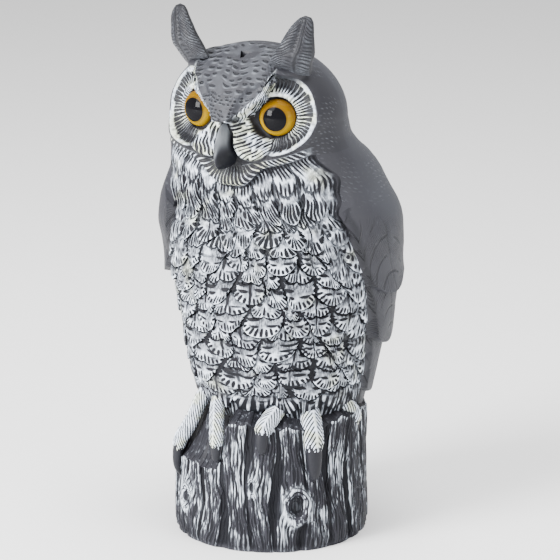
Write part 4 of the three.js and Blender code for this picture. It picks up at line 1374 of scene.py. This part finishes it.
# roughness and shine, where they aren't the usual ones
satins = {"beak": (0.34, 0.14), "claw": (0.42, 0.2)}
satins.update({name: (0.47, 0.27) for name in ["wing", "nape", "face", "ear"]})
finishes = [
    painted_finish(f"{name}_plastic", looks[name], *satins.get(name, ())) for name in FINISHES
]
socket_outline = eye_outline(EYE_FIT, 12)
sockets = [turned(f"socket{side}", socket_outline, side, finish_number("face")) for side in (1, -1)]
vent = vent_cutter()
moulding = stump
for piece in [moulding, bird, *ears, beak, *toes, *sockets, vent]:
    for finish in finishes:
        piece.data.materials.append(finish)
for piece in [bird, *ears, beak, *toes]:
    carve(moulding, piece, "UNION")
soften(moulding, finish_number("ear"), 16, 160)
for tool in [*sockets, vent]:
    carve(moulding, tool, "DIFFERENCE")
moulding.name = "owl_moulding"
moulding.data.set_sharp_from_angle(angle=math.radians(62))
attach(moulding, "root")
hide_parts("owl_on_stump")

# The two eyes: domed buttons of clear glossy plastic over amber, with a black pupil, pressed
# into their sockets by a short stem.
PUPIL = 9.0
AMBER = (0.16, 0.078, 0.001)
YELLOW = (0.28, 0.165, 0.001)
IRIS_RIM = (0.16, 0.075, 0.01)
PUPIL_RIM = (0.10, 0.05, 0.008)
PUPIL_BLACK = (0.004, 0.004, 0.005)


def eye_finish():
    material, shader, place, (off, _) = new_finish("eye_plastic")
    height = place[2] - (STUMP_HEIGHT + EYE_HEIGHT)
    pupil = 1 - smooth(PUPIL - 0.25, PUPIL + 0.25, off)
    rim = smooth(11.9, 13.2, off)
    warm = patches(place, 0.2, detail=3.0)
    colour = tinted(smooth(-3, 9, height + 3 * warm), YELLOW, AMBER)
    colour = tinted(rim * 0.75, colour, IRIS_RIM)
    colour = tinted(bell(off - PUPIL - 0.5, 0.5) * 0.6, colour, PUPIL_RIM)
    feed(shader.inputs["Base Color"], tinted(pupil, colour, PUPIL_BLACK))
    feed(shader.inputs["Roughness"], 0.16 + 0.08 * warm)
    shader.inputs["Specular IOR Level"].default_value = 0.0
    shader.inputs["Coat Weight"].default_value = 0.17
    shader.inputs["Coat Roughness"].default_value = 0.05
    shader.inputs["Coat IOR"].default_value = 1.4
    return material


eye_plastic = eye_finish()
for side, name in [(1, "left_eye"), (-1, "right_eye")]:
    eye = turned(f"{name}_dome", eye_outline(0, 20), side, 0)
    eye.data.materials.append(eye_plastic)
    eye.data.set_sharp_from_angle(angle=math.radians(40))
    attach(eye, "root")
    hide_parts(name)

# The floor, the soft lights and the camera, which looks from the owl's left, a little above.
# The camera's place, aim and focal length were fitted to the photograph, in its own pixels.
FLOOR_HALF = 4.0
LIGHT_AIM = (0, 0, 0.2)
PICTURE_SIDE = 560
FOCAL_LENGTH = 2732.7
SENSOR_WIDTH = 36
CAMERA_PLACE = (1.0, -1.73205, 0.7475)
CAMERA_AIM = (0.0057, 0.0033, 0.1926)
bpy.ops.mesh.primitive_plane_add(size=2 * FLOOR_HALF, location=(0, 0, 0))
studio_floor = bpy.context.object
studio_floor.name = "studio_floor"
pale = bpy.data.materials.new("pale_floor")
pale.use_nodes = True
pale_shader = pale.node_tree.nodes["Principled BSDF"]
pale_shader.inputs["Base Color"].default_value = (0.95, 0.95, 0.95, 1)
pale_shader.inputs["Roughness"].default_value = 0.9
studio_floor.data.materials.append(pale)

world = bpy.data.worlds.new("studio")
world.use_nodes = True
backdrop = world.node_tree.nodes["Background"]
backdrop.inputs["Color"].default_value = (1, 1, 1, 1)
backdrop.inputs["Strength"].default_value = 0.75
bpy.context.scene.world = world


def soft_light(name, place, size, watts):
    data = bpy.data.lights.new(name, "AREA")
    data.shape = "SQUARE"
    data.size = size
    data.energy = watts
    light = bpy.data.objects.new(name, data)
    light.location = place
    aim = Vector(LIGHT_AIM) - Vector(place)
    light.rotation_euler = aim.to_track_quat("-Z", "Y").to_euler()
    bpy.context.scene.collection.objects.link(light)


soft_light("key_light", (-0.7, -1.5, 1.7), 1.1, 55)
soft_light("front_light", (-0.86, -1.75, 0.75), 0.72, 95)
soft_light("top_light", (0.2, 0.1, 1.9), 1.0, 45)
soft_light("side_light", (1.8, -0.3, 0.8), 1.0, 20)

lens = bpy.data.cameras.new("camera")
lens.sensor_width = SENSOR_WIDTH
lens.lens = FOCAL_LENGTH / PICTURE_SIDE * SENSOR_WIDTH
lens.clip_end = 100
camera = bpy.data.objects.new("camera", lens)
camera.location = CAMERA_PLACE
aim = Vector(CAMERA_AIM) - camera.location
camera.rotation_euler = aim.to_track_quat("-Z", "Y").to_euler()
bpy.context.scene.collection.objects.link(camera)
bpy.context.scene.camera = camera
